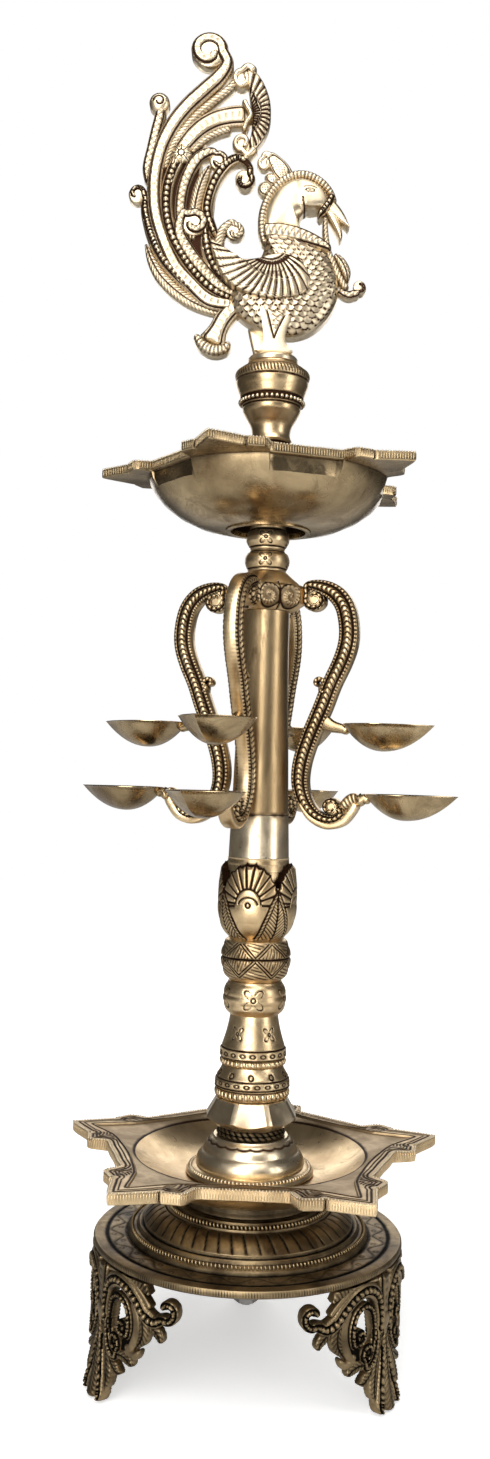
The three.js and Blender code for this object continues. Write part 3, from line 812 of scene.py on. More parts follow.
@dataclass(frozen=True)
class Strap:
    """A cast ribbon with a chased face on both sides.

    Attributes:
        line: Rows of (out, up, half width) along its middle.
        depth: Half its thickness.
        chase: The pattern on its faces.
        curl: The snail that it ends in, if any.
        start_curl: The snail that it starts in, if any.
        edge: Share of the depth that is left at its edges.
        across: Number of points across a face.
        step: Distance between its sections.
    """

    line: tuple[tuple[float, float, float], ...]
    depth: float
    chase: Chase = Chase.PLAIN
    curl: Curl | None = None
    start_curl: Curl | None = None
    edge: float = 0.5
    across: int = 19
    step: float = 0.6

    def _spiral(self, curl: Curl, last: Array, before: Array) -> Array:
        """Points of a snail that goes on from the strap's last points.

        Args:
            curl: The snail.
            last: The strap's last point.
            before: The point before it.

        Returns:
            Rows of (out, up, half width).
        """
        arm = last[:2] - (curl.x, curl.z)
        heading = last[:2] - before[:2]
        way = 1.0 if arm[0] * heading[1] - arm[1] * heading[0] > 0 else -1.0
        share = np.linspace(0.08, 1, int(14 * curl.turns))
        wide = 0.34 * curl.radius
        reach = np.hypot(*arm) * (1 - share) + 0.16 * curl.radius * share
        reach = np.minimum(reach, curl.radius - wide * (1 - 0.12 * share))
        turn = math.atan2(arm[1], arm[0]) + way * TURN * curl.turns * share
        half = np.minimum(wide * (1 - 0.12 * share), last[2] + (wide - last[2]) * np.minimum(1, share * 3))
        return np.stack([curl.x + reach * np.cos(turn), curl.z + reach * np.sin(turn), half], axis=1)

    def sections(self) -> tuple[Array, Array, Array]:
        """The strap's middle, its distance along, and its half width, evenly spaced."""
        rows = np.array(self.line, float)
        if self.start_curl:
            rows = np.vstack([self._spiral(self.start_curl, rows[0], rows[1])[::-1], rows])
        if self.curl:
            rows = np.vstack([rows, self._spiral(self.curl, rows[-1], rows[-2])])
        dense = smooth_line(rows, 12)
        lengths = np.concatenate([[0], np.cumsum(np.hypot(*np.diff(dense[:, :2], axis=0).T))])
        along = np.linspace(0, lengths[-1], max(8, int(lengths[-1] / self.step)))
        middle = np.stack([np.interp(along, lengths, dense[:, k]) for k in (0, 1)], axis=1)
        half = np.maximum(np.interp(along, lengths, dense[:, 2]), 0.3)
        return middle, along, half

    def cores(self) -> list["Plaque"]:
        """The solid middles of its snails."""
        return [Plaque((curl.x, curl.z), circle(curl.x, curl.z, 0.84 * curl.radius), 0.78 * self.depth,
            0.6 * self.depth, steps=3, rings=5) for curl in (self.curl, self.start_curl) if curl]

    def mesh(self, name: str, lay: Lay) -> bpy.types.Mesh:
        """Skins the strap.

        Args:
            name: The mesh's name.
            lay: Where (out, up, depth) lies in the lamp.

        Returns:
            The closed mesh.
        """
        middle, along, half = self.sections()
        heading = np.gradient(middle, axis=0)
        heading /= np.maximum(np.linalg.norm(heading, axis=1, keepdims=True), 1e-9)
        normal = np.stack([-heading[:, 1], heading[:, 0]], axis=1)
        near_end = np.minimum(along, along[-1] - along)
        blunt = np.sqrt(np.clip(1 - (1 - np.clip(near_end / np.minimum(half, 2.2), 0, 1)) ** 2, 0.02, 1))
        a = np.linspace(-1, 1, self.across)
        face_a = a[None, :] + 0 * along[:, None]
        height, shade = self.chase.cut(face_a, along[:, None] + 0 * face_a, half[:, None] + 0 * face_a)
        for pattern in (height, shade):
            pattern[:, [0, -1]] = 0
        crown = self.depth * (self.edge + (1 - self.edge) * np.sqrt(np.clip(1 - np.abs(face_a) ** 2.4, 0, 1)))
        deep = np.maximum(crown + height * np.clip(self.depth / 3, 0.35, 1), 0.25 * self.depth) * blunt[:,
            None]
        spread = (half * blunt)[:, None] * face_a
        x = middle[:, :1] + normal[:, :1] * spread
        z = middle[:, 1:] + normal[:, 1:] * spread
        x, z = np.hstack([x, x[:, ::-1]]), np.hstack([z, z[:, ::-1]])
        deep, shade = np.hstack([deep, -deep[:, ::-1]]), np.hstack([shade, shade[:, ::-1]])
        rows, columns = x.shape
        points = lay(x.ravel(), z.ravel(), deep.ravel())
        ends = lay(middle[[0, -1], 0], middle[[0, -1], 1], np.zeros(2))
        wash_and_shade = np.concatenate([shade.ravel(), [0, 0]])
        return plain_mesh(name, np.vstack([points, ends]), tube_faces(rows, columns), wash_and_shade, 50)


@dataclass(frozen=True)
class Plaque:
    """A domed casting with a closed outline, the same on both sides.

    Attributes:
        centre: Point (out, up) that sees the whole outline.
        outline: Points of the outline.
        depth: Half its thickness in the middle.
        edge: Half its thickness at the outline.
        dome: How flat the middle is; 2 is a ball, more is flatter.
        relief: Pattern as a function of (out, up, share of the way to the outline).
        steps: Pieces between two points of the outline.
        rings: Rings between the middle and the outline.
    """

    centre: tuple[float, float]
    outline: tuple[tuple[float, float], ...]
    depth: float
    edge: float = 1.0
    dome: float = 2.4
    relief: Relief | None = None
    steps: int = 9
    rings: int = 34

    def mesh(self, name: str, lay: Lay) -> bpy.types.Mesh:
        """Skins the plaque.

        Args:
            name: The mesh's name.
            lay: Where (out, up, depth) lies in the lamp.

        Returns:
            The closed mesh.
        """
        rim = smooth_line(self.outline, self.steps, closed=True)
        share = np.sin(np.linspace(0, math.pi / 2, self.rings + 1)[1:]) ** 0.9
        away = rim - self.centre
        x = self.centre[0] + share[:, None] * away[None, :, 0]
        z = self.centre[1] + share[:, None] * away[None, :, 1]
        spread = share[:, None] + 0 * x
        crown = self.edge + (self.depth - self.edge) * np.clip(1 - spread**self.dome, 0, 1) ** 0.5
        height, shade = self.relief(x, z, spread) if self.relief else (0 * x, 0 * x)
        fade = np.clip((1 - spread) * 12, 0, 1)
        deep = crown + height * fade
        front = lay(x.ravel(), z.ravel(), deep.ravel())
        back = lay(x[::-1].ravel(), z[::-1].ravel(), -deep[::-1].ravel())
        middle = np.array([self.centre[0]] * 2), np.array([self.centre[1]] * 2)
        poles = lay(*middle, np.array([deep[0].mean(), -deep[0].mean()]))
        wash_and_shade = np.concatenate([shade.ravel(), shade[::-1].ravel(), [0, 0]])
        return plain_mesh(name, np.vstack([front, back, poles]), tube_faces(2 * self.rings, len(rim)),
            wash_and_shade, 55)


def cast(name: str, shape: Strap | Plaque, lay: Lay, finish: BrassFinish, body: Body, slot: Slot,
        *nodes: str) -> None:
    """Skins a strap or a plaque where it lies and puts it in the scene."""
    place(name, shape.mesh(name, lay), finish, body, slot, *nodes)


# Turned pieces
def engraved_flower(x: Array, z: Array, size: float) -> Array:
    """Lines of a four-petal flower with a ring in its middle, 0 to 1."""
    away, turn = np.hypot(x, z), np.arctan2(z, x)
    petal = size * np.abs(np.sin(2 * turn)) ** 1.3
    outline = groove(away, petal, 0.4) * (away > 0.3 * size)
    return np.clip(outline + groove(away, 0.18 * size, 0.36), 0, 1)


def ring_dots(x: Array, z: Array) -> Array:
    """A small flat oval ring round each place, 0 to 1."""
    return 0.9 * groove(np.hypot(0.62 * x, z), 0.9, 0.34)


def nearest(turn: Array, count: int, first: float, radius: Array) -> Array:
    """Distance round the piece to the nearest of evenly spaced places."""
    spacing = TURN / count
    return ((turn - math.radians(first) + spacing / 2) % spacing - spacing / 2) * radius


def profile(outline: Sequence[Sequence[float]], step: float) -> Array:
    """A turned outline with its bows, evenly stepped.

    Args:
        outline: Rows of (radius, height, bulge, spread), of which the last two may be left out.
        step: Distance between rows.

    Returns:
        Rows of (radius, height).
    """
    rows = [tuple(row) + (0.0, 1.0)[len(row) - 2:] for row in outline]
    out = []
    for (r0, z0, bulge, spread), (r1, z1, _, _) in zip(rows, rows[1:]):
        span = math.hypot(r1 - r0, z1 - z0)
        count = max(1, round(span / (step * spread)))
        t = np.arange(count) / count
        bow = 4 * bulge * t * (1 - t)
        out.append(np.stack([r0 + (r1 - r0) * t + bow * (z1 - z0) / span,
            z0 + (z1 - z0) * t - bow * (r1 - r0) / span], axis=1))
    return np.vstack([*out, [rows[-1][:2]]])


@dataclass(frozen=True)
class Turned:
    """A piece turned about the axis, with engraving.

    Attributes:
        name: The piece's name.
        node: The model's node that it stands for; its heights start at that node's lowest point.
        outline: Rows of (radius, height, bulge, spread) from bottom to top; the bulge is how far
            the stretch to the next row bows outwards, and the spread widens the row spacing on it.
        hole: Radius of the hole through it.
        finish: Its finish.
        body: The body it rides on.
        slot: The record slot of its finish.
        relief: Pattern as a function of (turn, height, radius).
        columns: Points round it.
        step: Distance between rows.
    """

    name: str
    node: str
    outline: tuple[tuple[float, ...], ...]
    hole: float
    finish: BrassFinish
    body: Body
    slot: Slot
    relief: Relief | None = None
    columns: int = 200
    step: float = 0.7

    def add(self) -> None:
        """Builds the piece on its node's seat and hands it to the frame."""
        skin = profile(self.outline, self.step)
        tangent = np.gradient(skin, axis=0)
        tangent /= np.maximum(np.linalg.norm(tangent, axis=1, keepdims=True), 1e-9)
        turn = np.arange(self.columns) / self.columns * TURN
        around = turn[None, :] + 0 * skin[:, :1]
        radius, height = skin[:, :1] + 0 * around, skin[:, 1:] + 0 * around
        shade = np.zeros_like(around)
        if self.relief:
            rise, shade = self.relief(around, height, radius)
            rise[0] = rise[-1] = 0
            radius = radius + rise * tangent[:, 1:]
            height = height - rise * tangent[:, :1]
        inner = np.array([[self.hole, skin[-1, 1]], [self.hole, skin[0, 1]]])
        radius = np.vstack([radius, inner[:, :1] + 0 * around[:2]])
        height = np.vstack([height, inner[:, 1:] + 0 * around[:2]])
        shade = np.vstack([shade, np.zeros((2, self.columns))])
        points = np.stack([radius * np.cos(turn), radius * np.sin(turn), height + seat(self.node)], axis=-1)
        points = points.reshape(-1, 3)
        mesh = plain_mesh(self.name, points, [torus_faces(len(radius), self.columns)], shade.ravel())
        place(self.name, mesh, self.finish, self.body, self.slot, self.node)


# The stand
@dataclass(frozen=True)
class BaseDisc:
    """The round base with its rings, its scroll band and its fluted dome."""

    radius: float = 86.3
    band: tuple[float, float] = (68.0, 78.7)
    scrolls: int = 22

    def _relief(self, turn: Array, height: Array, radius: Array) -> tuple[Array, Array]:
        """Engraves the scroll band and mills the rim.

        Args:
            turn: Angle of each point.
            height: Its height over the underside.
            radius: Its radius.

        Returns:
            Height and shade.
        """
        low, high = self.band
        on_top = (height > 3.9) & (radius > 60)
        inside = (radius > low) & (radius < high) & on_top
        middle = (low + high) / 2
        wave = middle + 3.1 * np.sin(turn * self.scrolls)
        vine = groove(radius, wave, 0.9)
        leaf_x = nearest(turn, 2 * self.scrolls, 180 / (4 * self.scrolls), radius)
        leaf_r = radius - middle + 2.0 * np.sign(np.sin(turn * self.scrolls))
        leaf = groove(np.hypot(leaf_x, leaf_r), 1.3, 0.4)
        lines = groove(radius, high, 1.0) + 0.7 * groove(radius, low, 0.8)
        milled = comb(turn * self.radius, 1.5, 0.4) * (radius > self.radius - 0.4) * (height > 0.8) * ~on_top
        cut = np.clip((0.5 * vine + 0.5 * leaf) * inside + lines * on_top, 0, 1)
        return -0.5 * cut - 0.22 * milled, np.clip(cut + 0.6 * milled, 0, 1)

    def add(self) -> None:
        """Builds the casting, its fluted dome and its bead rings."""
        Turned("base_disc_casting", "base_disc", ((4.2, 17.6, 0, 6), (36, 17.6, 0, 5), (46, 14.1, 0, 5),
            (58, 6.1, 0, 4), (62.5, 0, 0, 6), (84.6, 0), (86.3, 1.2), (86.3, 3.1), (85.4, 4.1, 0.2),
            (79.4, 4.4), (78.7, 4.3), (78.0, 4.5), (68.4, 4.5), (67.6, 4.4, 0.5), (66.2, 6.4), (63.8, 8.2),
            (62.4, 8.0), (61.9, 8.9, 0.7), (59.6, 9.5), (58.6, 9.2), (58.4, 10.6), (57.6, 11.4), (50, 15.8),
            (47.6, 18.3), (46.8, 18.2), (46.4, 19.8), (43.4, 20.9), (42.6, 20.7), (41.9, 22.1, 0.3),
            (38.4, 22.3, 0, 6), (4.2, 22.3)), 4.2, BRONZE, Body.STAND, Slot.DARK, self._relief, columns=760,
            step=1.0).add()
        underside = seat("base_disc")
        dome = Strings.grow("base_disc_fluted_dome", Strings.fluted_dome(),
            {"Outer Radius": 58.6 * MM, "Outer Height": (underside + 11.2) * MM, "Inner Radius": 47.4 * MM,
            "Inner Height": (underside + 18.9) * MM, "Dome": 1.5 * MM, "Thickness": 3.0 * MM,
            "Groove Depth": 0.9 * MM, "Sweep": 0.42, "Count": 48, "Material": BRONZE.material()})
        place("base_disc_fluted_dome", dome, BRONZE, Body.STAND, Slot.DARK)
        BeadRing(65.2, underside + 7.5, 190, (0.9, 0.75, 1.7), 12).add("base_disc_outer_beads", BRONZE,
            Body.STAND, Slot.DARK)
        BeadRing(45.0, underside + 20.7, 130, (0.9, 0.75, 1.5), 12).add("base_disc_inner_beads", BRONZE,
            Body.STAND, Slot.DARK)
        # Painted shade: the drum sits in the tray's shadow, so it takes the darkest finish.
        Turned("tray_foot_drum", "tray_foot", ((37.4, 0), (36.9, 1.2), (36.2, 1.9), (35.4, 5.4)), 20, SOOT_AND_SHADE,
            Body.STAND, Slot.DARK).add()


@dataclass(frozen=True)
class Leg:
    """One open scrollwork leg, bent round the disc's rim."""

    name: str
    wall: float = 83.4

    def _lay(self, mirror: float) -> Lay:
        """Where (along the rim, up, depth) lies for this leg."""
        low, high = (Vector(corner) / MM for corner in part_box(self.name))
        middle = (low + high) / 2
        angle = math.atan2(middle.y, middle.x)

        def lay(u: Array, z: Array, depth: Array) -> Array:
            """Points on the bent leg, with the foot leaning outwards."""
            flare = 5.6 * np.clip((42 - z) / 42, 0, 1) ** 1.9
            radius = self.wall + flare + depth
            turn = angle + mirror * u / self.wall
            return np.stack([radius * np.cos(turn), radius * np.sin(turn), np.clip(z, 0.05, 70.2)], axis=-1)

        return lay

    def straps(self) -> dict[str, Strap]:
        """The scrolls and leaves of one half of the leg, seen from outside."""
        return {
            "great_scroll": Strap(((4.5, 40, 2.6), (4.2, 51, 3.6), (7.5, 61, 4.2), (15.5, 66.2, 4.3),
                (24.5, 65, 4.3), (32, 60, 4.2), (37, 54.8, 4.1), (43, 52.6, 3.6)), 3.8, Chase.BEADED,
                Curl(50.2, 59.2, 7.2, 0.85)),
            "outer_moulding": Strap(((6, 68.8, 1.2), (15, 70.6, 1.7), (26, 69.4, 1.7), (35, 63.5, 1.6),
                (41, 58.4, 1.2)), 2.9),
            "top_leaf": Strap(((22, 70.4, 1.5), (29, 70.3, 3.0), (35, 68.8, 3.2), (40, 65.0, 0.6)), 3.2,
                Chase.RIBBED),
            "hole_ring": Strap(((8.6, 38, 1.2), (9.4, 47, 1.8), (11.8, 55, 2.0), (17.5, 58.2, 2.1),
                (23.5, 55.5, 2.2), (26.2, 48, 2.3), (25.2, 40.5, 2.2)), 3.1, Chase.BEADED,
                Curl(20.8, 43, 5.0, 1.1)),
            "low_scroll": Strap(((6.6, 44, 1.6), (7.2, 36, 2.1), (10.8, 29, 2.3), (16.5, 27, 2.1)), 3.5,
                Chase.BEADED, Curl(15.4, 33.6, 5.6, 1.15)),
            "crescent": Strap(((28, 58.5, 1.0), (31.4, 52, 2.3), (31.8, 44, 2.6), (29, 36.4, 2.4),
                (24.2, 31, 1.4)), 3.0),
            "side_leaf": Strap(((34, 55, 1.5), (36.4, 49, 3.2), (36.2, 42.5, 3.2), (32.4, 36.4, 0.7)), 3.2,
                Chase.LEAFY),
            "ball_leaf": Strap(((38, 52, 1.5), (42.5, 49.6, 3.0), (46.5, 45.8, 2.6), (47.4, 42.4, 0.9)),
                3.0, Chase.LEAFY),
            "heel_leaf": Strap(((17, 28.4, 1.4), (22, 29.4, 2.8), (26.8, 28.6, 2.9), (30.2, 26.4, 1.2)),
                3.0, Chase.LEAFY),
            "cross_leaf": Strap(((24, 36, 1.5), (27.4, 32.6, 2.4), (31.4, 32.2, 2.2), (34.2, 35.6, 0.8)),
                2.8),
            "shin_leaf": Strap(((2.5, 42, 1.6), (6.4, 32, 2.7), (10.2, 22.5, 3.2), (12.4, 14.5, 2.4),
                (12.2, 9.6, 0.6)), 3.3, Chase.LEAFY),
            "calf_leaf": Strap(((8, 29, 1.4), (13.4, 23.6, 2.6), (18.4, 20.6, 2.4), (21.6, 20.2, 0.6)), 3.0,
                Chase.LEAFY),
            "toe_leaf": Strap(((1.6, 34, 1.4), (4.0, 22, 2.5), (6.8, 12, 3.1), (8.2, 5.2, 2.8),
                (7.6, 1.4, 1.2)), 3.9, Chase.BEADED),
            # Painted shadow: dark sheets behind the open scrollwork, coloured wholly in the painted shade.
            "web": Strap(((6, 57, 2.4), (6.4, 42, 3.0), (7.2, 30, 5.0), (7, 16, 6.2), (4.5, 4, 5.0)), 2.2,
                Chase.SHADOW, step=1.2, across=9),
            "outer_shadow_sheet": Strap(((24, 62.6, 2.0), (31, 55, 4.0), (31, 43, 5.2), (24, 34.5, 4.6),
                (15, 31, 4.0)), 1.9, Chase.SHADOW, step=1.2, across=9),
        }

    def add(self) -> None:
        """Builds both halves, the spine and the foot."""
        look = BRONZE, Body.STAND, Slot.DARK
        for side, mirror in (("a", 1.0), ("b", -1.0)):
            for part, strap in self.straps().items():
                nodes = (self.name,) if (part, side) == ("great_scroll", "a") else ()
                cast(f"{self.name}_{part}_{side}", strap, self._lay(mirror), *look, *nodes)
        lay = self._lay(1.0)
        spine = Strap(((0, 70.2, 5.4), (0, 60, 4.6), (0, 50, 3.9), (0, 42, 3.4), (0, 36, 1.0)), 3.9,
            Chase.INLAID)
        cast(f"{self.name}_spine", spine, lay, *look)
        foot = Strap(((0, 40, 0.8), (0, 30, 2.2), (0, 18, 3.4), (0, 8, 4.2), (0, 0.6, 3.6)), 4.5, Chase.LEAFY)
        cast(f"{self.name}_toe", foot, lay, *look)
        clasp = Plaque((0, 46), ((-4.5, 46), (0, 51), (4.5, 46), (0, 41)), 4.6, 3.0)
        cast(f"{self.name}_clasp", clasp, lay, *look)


# Petal dishes
@dataclass(frozen=True)
class PetalDish:
    """A dish with a five-petal rim: the lower tray or the upper bowl.

    Attributes:
        name: Its name.
        node: The model's node that it stands for.
        tip: Radius at the petals' tips.
        first_tip: Angle of the first tip, in degrees.
        basin: Radius and height of the crease round its basin.
        floor: Height of its floor.
        hole: Radius of the hole in its floor.
        rim: Thickness of its rim.
        belly: Rows of (radius, height) of its underside, from the hole outwards.
        finish: Finish of the casting.
        slot: The record slot of its finish.
        body: The body it rides on.
    """

    EDGE = ((0, 1), (1.6, 0.974), (4, 0.93), (7, 0.88), (9.2, 0.85), (9.9, 0.828), (10.9, 0.842),
        (13.6, 0.832), (16.8, 0.824), (17.9, 0.80), (18.8, 0.724), (20.6, 0.712), (27, 0.698), (36, 0.687))
    HOLLOW = ((0, 0.87), (1.6, 0.835), (4, 0.785), (7, 0.735), (9.2, 0.705), (9.9, 0.698), (10.9, 0.69),
        (13.6, 0.67), (16.8, 0.652), (17.9, 0.647), (18.8, 0.642), (20.6, 0.636), (27, 0.615), (36, 0.605))
    PETALS = 5

    name: str
    node: str
    tip: float
    first_tip: float
    basin: tuple[float, float]
    floor: float
    hole: float
    rim: float
    belly: tuple[tuple[float, float], ...]
    finish: BrassFinish
    slot: Slot
    body: Body

    def _outline(self, rows: tuple[tuple[float, float], ...]) -> Array:
        """Points (x, y) of a petal outline.

        Args:
            rows: Half a petal as (degrees from its tip, share of the tip radius).

        Returns:
            The closed outline's points.
        """
        angle, share = np.array(rows, float).T
        half = np.radians(angle)
        x, y = self.tip * share * np.cos(half), self.tip * share * np.sin(half)
        turns, reach = np.array(self.EDGE, float).T
        corners = self.tip * reach * np.exp(1j * np.radians(turns))
        counts = [max(2, round(span / 1.05)) for span in np.abs(np.diff(corners))]
        half_x = np.concatenate([np.linspace(x[i], x[i + 1], n, endpoint=False) for i,
            n in enumerate(counts)])
        half_y = np.concatenate([np.linspace(y[i], y[i + 1], n, endpoint=False) for i,
            n in enumerate(counts)])
        period_x = np.concatenate([[x[-1]], half_x[:0:-1], half_x])
        period_y = np.concatenate([[-y[-1]], -half_y[:0:-1], half_y])
        parts = []
        for petal in range(self.PETALS):
            turn = math.radians(self.first_tip) + petal * TURN / self.PETALS
            c, s = math.cos(turn), math.sin(turn)
            parts.append(np.stack([period_x * c - period_y * s, period_x * s + period_y * c], axis=1))
        return np.vstack(parts)

    @staticmethod
    def _inset(outline: Array, by: float) -> Array:
        """The outline pulled towards the axis by a distance."""
        radius = np.hypot(*outline.T)[:, None]
        return outline * (radius - by) / radius

    @staticmethod
    def _clearance(points: Array, outline: Array) -> Array:
        """Distance from each point to the nearest of the outline's stretches."""
        best = np.full(len(points), 1e9)
        span = np.roll(outline, -1, axis=0) - outline
        batch = 2000
        for start in range(0, len(points), batch):
            block = points[start : start + batch, None, :]
            share = np.clip(((block - outline) * span).sum(-1) / (span**2).sum(-1), 0, 1)
            near = outline + share[..., None] * span
            best[start : start + batch] = np.sqrt(((block - near) ** 2).sum(-1)).min(axis=1)
        return best

    def add(self) -> None:
        """Builds the dish and the notches along its rim."""
        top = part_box(self.node)[1][2] / MM
        under = top - self.rim
        edge, hollow = self._outline(self.EDGE), self._outline(self.HOLLOW)
        unit = edge / np.hypot(*edge.T)[:, None]
        edge_reach = np.hypot(*edge.T)
        crease_r, crease_z = self.basin
        rings: list[tuple[Array, float]] = []
        floor_radii = np.linspace(self.hole, 0.5 * crease_r, 5)
        for radius in np.concatenate([floor_radii, np.linspace(0.53, 1, 22) * crease_r]):
            lift = max(0.0, (radius / crease_r - 0.5) / 0.5) ** 1.9
            rings.append((unit * radius, self.floor + (crease_z - self.floor) * lift))
        bowl_edge = unit * np.minimum(crease_r + 0.4, np.hypot(*hollow.T) - 0.6)[:, None]
        climb = top - 1.3 - crease_z
        for t in np.linspace(0, 1, 14):
            rings.append((bowl_edge + (hollow - bowl_edge) * t, crease_z + 0.35 + climb * t**0.85))
        rings.append((self._inset(hollow, -0.45), top - 0.35))
        rim_in = self._inset(hollow, -0.9)
        rim_out = self._inset(edge, 0.7)
        for t in np.linspace(0, 1, 30):
            rings.append((rim_in + (rim_out - rim_in) * t, top))
        rings += [(self._inset(edge, 0.2), top - 0.25), (edge, top - 0.7), (edge, under + 0.6),
            (self._inset(edge, 0.5), under)]
        for radius, height in self.belly[::-1]:
            reach = np.minimum(radius, edge_reach - 2.2)
            rings.append((unit * reach[:, None], min(height, under)))
        flat = np.vstack([ring for ring, _ in rings])
        height = np.concatenate([np.full(len(edge), z) for _, z in rings])
        on_rim = np.abs(height - top) < 0.01
        from_edge, from_hollow = np.full(len(flat), 99.0), np.full(len(flat), 99.0)
        from_edge[on_rim] = self._clearance(flat[on_rim], edge)
        from_hollow[on_rim] = self._clearance(flat[on_rim], hollow)
        cut = groove(from_edge, 3.0, 0.5) + groove(from_hollow, 1.6, 0.5) + 0.7 * groove(from_edge, 5.2, 0.4)
        far = np.clip(from_edge - 4.0, 0, None) * np.clip(from_hollow - 2.6, 0, None)
        turn = np.arctan2(flat[:, 1], flat[:, 0]) - math.radians(self.first_tip)
        ear = np.abs(np.abs((turn / TURN * 5 + 0.5) % 1 - 0.5) * 72 - 14)
        chevron = comb(from_edge + 0.35 * ear, 1.8, 0.4) * (far > 0.2) * (ear < 5.5)
        reach = np.hypot(*flat.T)
        # Painted shade: the petals' troughs are darkened all over, and more along the crease round the basin.
        in_trough = (reach > crease_r + 0.3) & (height > under + 1) & (height < top - 0.2)
        crease = groove(reach, crease_r + 0.6, 0.9) * in_trough
        cut = np.clip(cut + 0.8 * chevron * on_rim + 0.16 * on_rim + 0.3 * in_trough + 0.7 * crease, 0, 1)
        sunk = np.where(on_rim | (height > under + 1), cut - 0.16, 0)
        points = np.column_stack([flat, height - 0.5 * sunk])
        mesh = plain_mesh(f"{self.name}_casting", points, [torus_faces(len(rings), len(edge))], cut, 26)
        place(f"{self.name}_casting", mesh, self.finish, self.body, self.slot, self.node)
        closed = np.vstack([edge, edge[:1]])
        crest = np.column_stack([self._inset(closed, 0.55), np.full(len(closed), top - 0.1)])
        notch_row(f"{self.name}_rim_notches", crest, int(3.9 * self.tip), (0.55, 0.85, 0.6), PALE,
            self.body, self.slot)
        side = np.column_stack([self._inset(closed, 0.12), np.full(len(closed), (top + under) / 2)])
        notch_row(f"{self.name}_rim_milling", side, int(4.6 * self.tip), (0.42, 0.4, 0.42 * self.rim),
            self.finish, self.body, self.slot)


# The turned column
@dataclass(frozen=True)
class Column:
    """The turned stack from the tray's centre up to the branches."""

    lotus_petals: int = 4

    def _lower_bell(self, turn: Array, height: Array, radius: Array) -> tuple[Array, Array]:
        """Punched rings over a dotted border and a roped edge."""
        x = nearest(turn, 10, -92, radius)
        away = np.hypot(x, height - 13.9)
        punched = groove(away, 1.3, 0.45) + 0.6 * groove(away, 0, 0.3)
        dots = ring_dots(nearest(turn, 22, 0, radius), height - 9.1)
        cut = np.clip(punched + dots + groove(height, 11.4, 0.45) + groove(height, 6.9, 0.45), 0, 1)
        return -0.4 * cut, cut

    def _upper_bell(self, turn: Array, height: Array, radius: Array) -> tuple[Array, Array]:
        """Small flowers over a dotted border and a roped edge."""
        flower = engraved_flower(nearest(turn, 5, -127, radius), height - 18.6, 4.4)
        dots = ring_dots(nearest(turn, 20, 0, radius), height - 7.2)
        cut = np.clip(flower + dots + groove(height, 10.0, 0.45) + groove(height, 4.6, 0.45), 0, 1)
        return -0.4 * cut, cut

    def _flower_bead(self, turn: Array, height: Array, radius: Array) -> tuple[Array, Array]:
        """Four-petal flowers round the bead."""
        cut = engraved_flower(nearest(turn, 5, -92, radius), height - 9.8, 7.2)
        return -0.45 * cut, cut

    def _band_bead(self, turn: Array, height: Array, radius: Array) -> tuple[Array, Array]:
        """Hatched triangles above and below a deep middle line."""
        middle = groove(height, 13.1, 0.6)
        x = nearest(turn, 6, -90, radius)
        above = height - 13.1
        zigzag = (np.abs(x) - np.abs(above)) * 0.7
        band = groove(zigzag, 0.6, 0.42) + groove(zigzag, -0.9, 0.42)
        hatch = comb(height + 0.25 * x, 1.8, 0.4) * (zigzag < -1.9) + comb(x - 0.3 * height, 1.8,
            0.4) * (zigzag > 1.6)
        field = (np.abs(above) > 1.0) & (height > 2.0) & (height < 22)
        cut = np.clip(middle + (band + 0.7 * hatch) * field, 0, 1)
        return -0.4 * cut - 0.4 * middle, cut

    def _lotus(self, turn: Array, height: Array, radius: Array) -> tuple[Array, Array]:
        """Eye feathers between veined leaves, with a scalloped top edge and painted shade in the step behind
        it.
        """
        fan_x = nearest(turn, self.lotus_petals, -104, radius)
        leaf_x = nearest(turn, self.lotus_petals, -59, radius)
        up = height - 19.3
        away, lean = np.hypot(1.2 * fan_x, up), np.degrees(np.arctan2(up, 1.2 * fan_x))
        arch = 23.2 - 1.6 * np.abs(np.sin(np.radians(lean * 11.25)))
        in_fan = (away < arch) & (up > -2)
        ray = groove((lean / 16 + 0.5) % 1 * 16 - 8, 0, 38 / np.maximum(away, 4)) * (away > 9.5) * in_fan
        rim = groove(away, arch, 0.7) * (up > 0)
        brow = (up > 0.5) * (groove(np.hypot(fan_x, 1.3 * up), 5.6, 0.45) + groove(away, 9.0, 0.5))
        eye = groove(np.hypot(fan_x, up), 1.3, 0.42) + brow
        tip = 28.0
        width = 9.8 * np.clip(1 - (height / tip) ** 1.7, 0, 1)
        in_leaf = (np.abs(leaf_x) < width) * 1.0
        leaf_edge = groove(np.abs(leaf_x), width, 0.55) * (height < tip) + 0.9 * groove(np.abs(leaf_x),
            width - 2.3, 0.4)
        vein = groove(leaf_x, 0, 0.45)
        herring = comb(height - 0.9 * np.abs(leaf_x), 2.1, 0.42) * (np.abs(leaf_x) < width - 2.8)
        border = comb(height + 0.6 * np.abs(leaf_x), 1.6, 0.35) * (np.abs(leaf_x) > width - 2.1) * in_leaf
        cut = np.clip((ray + rim + eye) * (1 - in_leaf) + leaf_edge + (vein + 0.7 * herring) * in_leaf
            + 0.6 * border, 0, 1)
        arch_top = 19.3 + np.sqrt(np.clip(arch**2 - (1.2 * fan_x) ** 2, 0, None))
        top = np.maximum(arch_top, 27.5 + 1.2 * np.abs(np.cos(0.8 * leaf_x)))
        # Above the edge the surface steps in; painted shade darkens the corner of that step.
        clear = height > top + 0.4
        rise = np.where(clear, np.minimum(17.2 - radius, 0), 0.35 * in_leaf - 0.55 * cut)
        shade = np.where(clear, groove(height, top + 0.4, 1.2), cut)
        return rise, shade

    def _washer(self, turn: Array, height: Array, radius: Array) -> tuple[Array, Array]:
        """Slanting rope strands."""
        twist = comb(turn * 18.6 + 0.8 * height, TURN * 18.6 / 30, 0.6)
        return -0.5 * twist, twist

    def _cone(self, turn: Array, height: Array, radius: Array) -> tuple[Array, Array]:
        """A scalloped line under the cone's top."""
        scallop = 14.0 - 0.6 * np.abs(np.sin(turn * 10))
        cut = groove(height, scallop, 0.5)
        return -0.25 * cut, cut

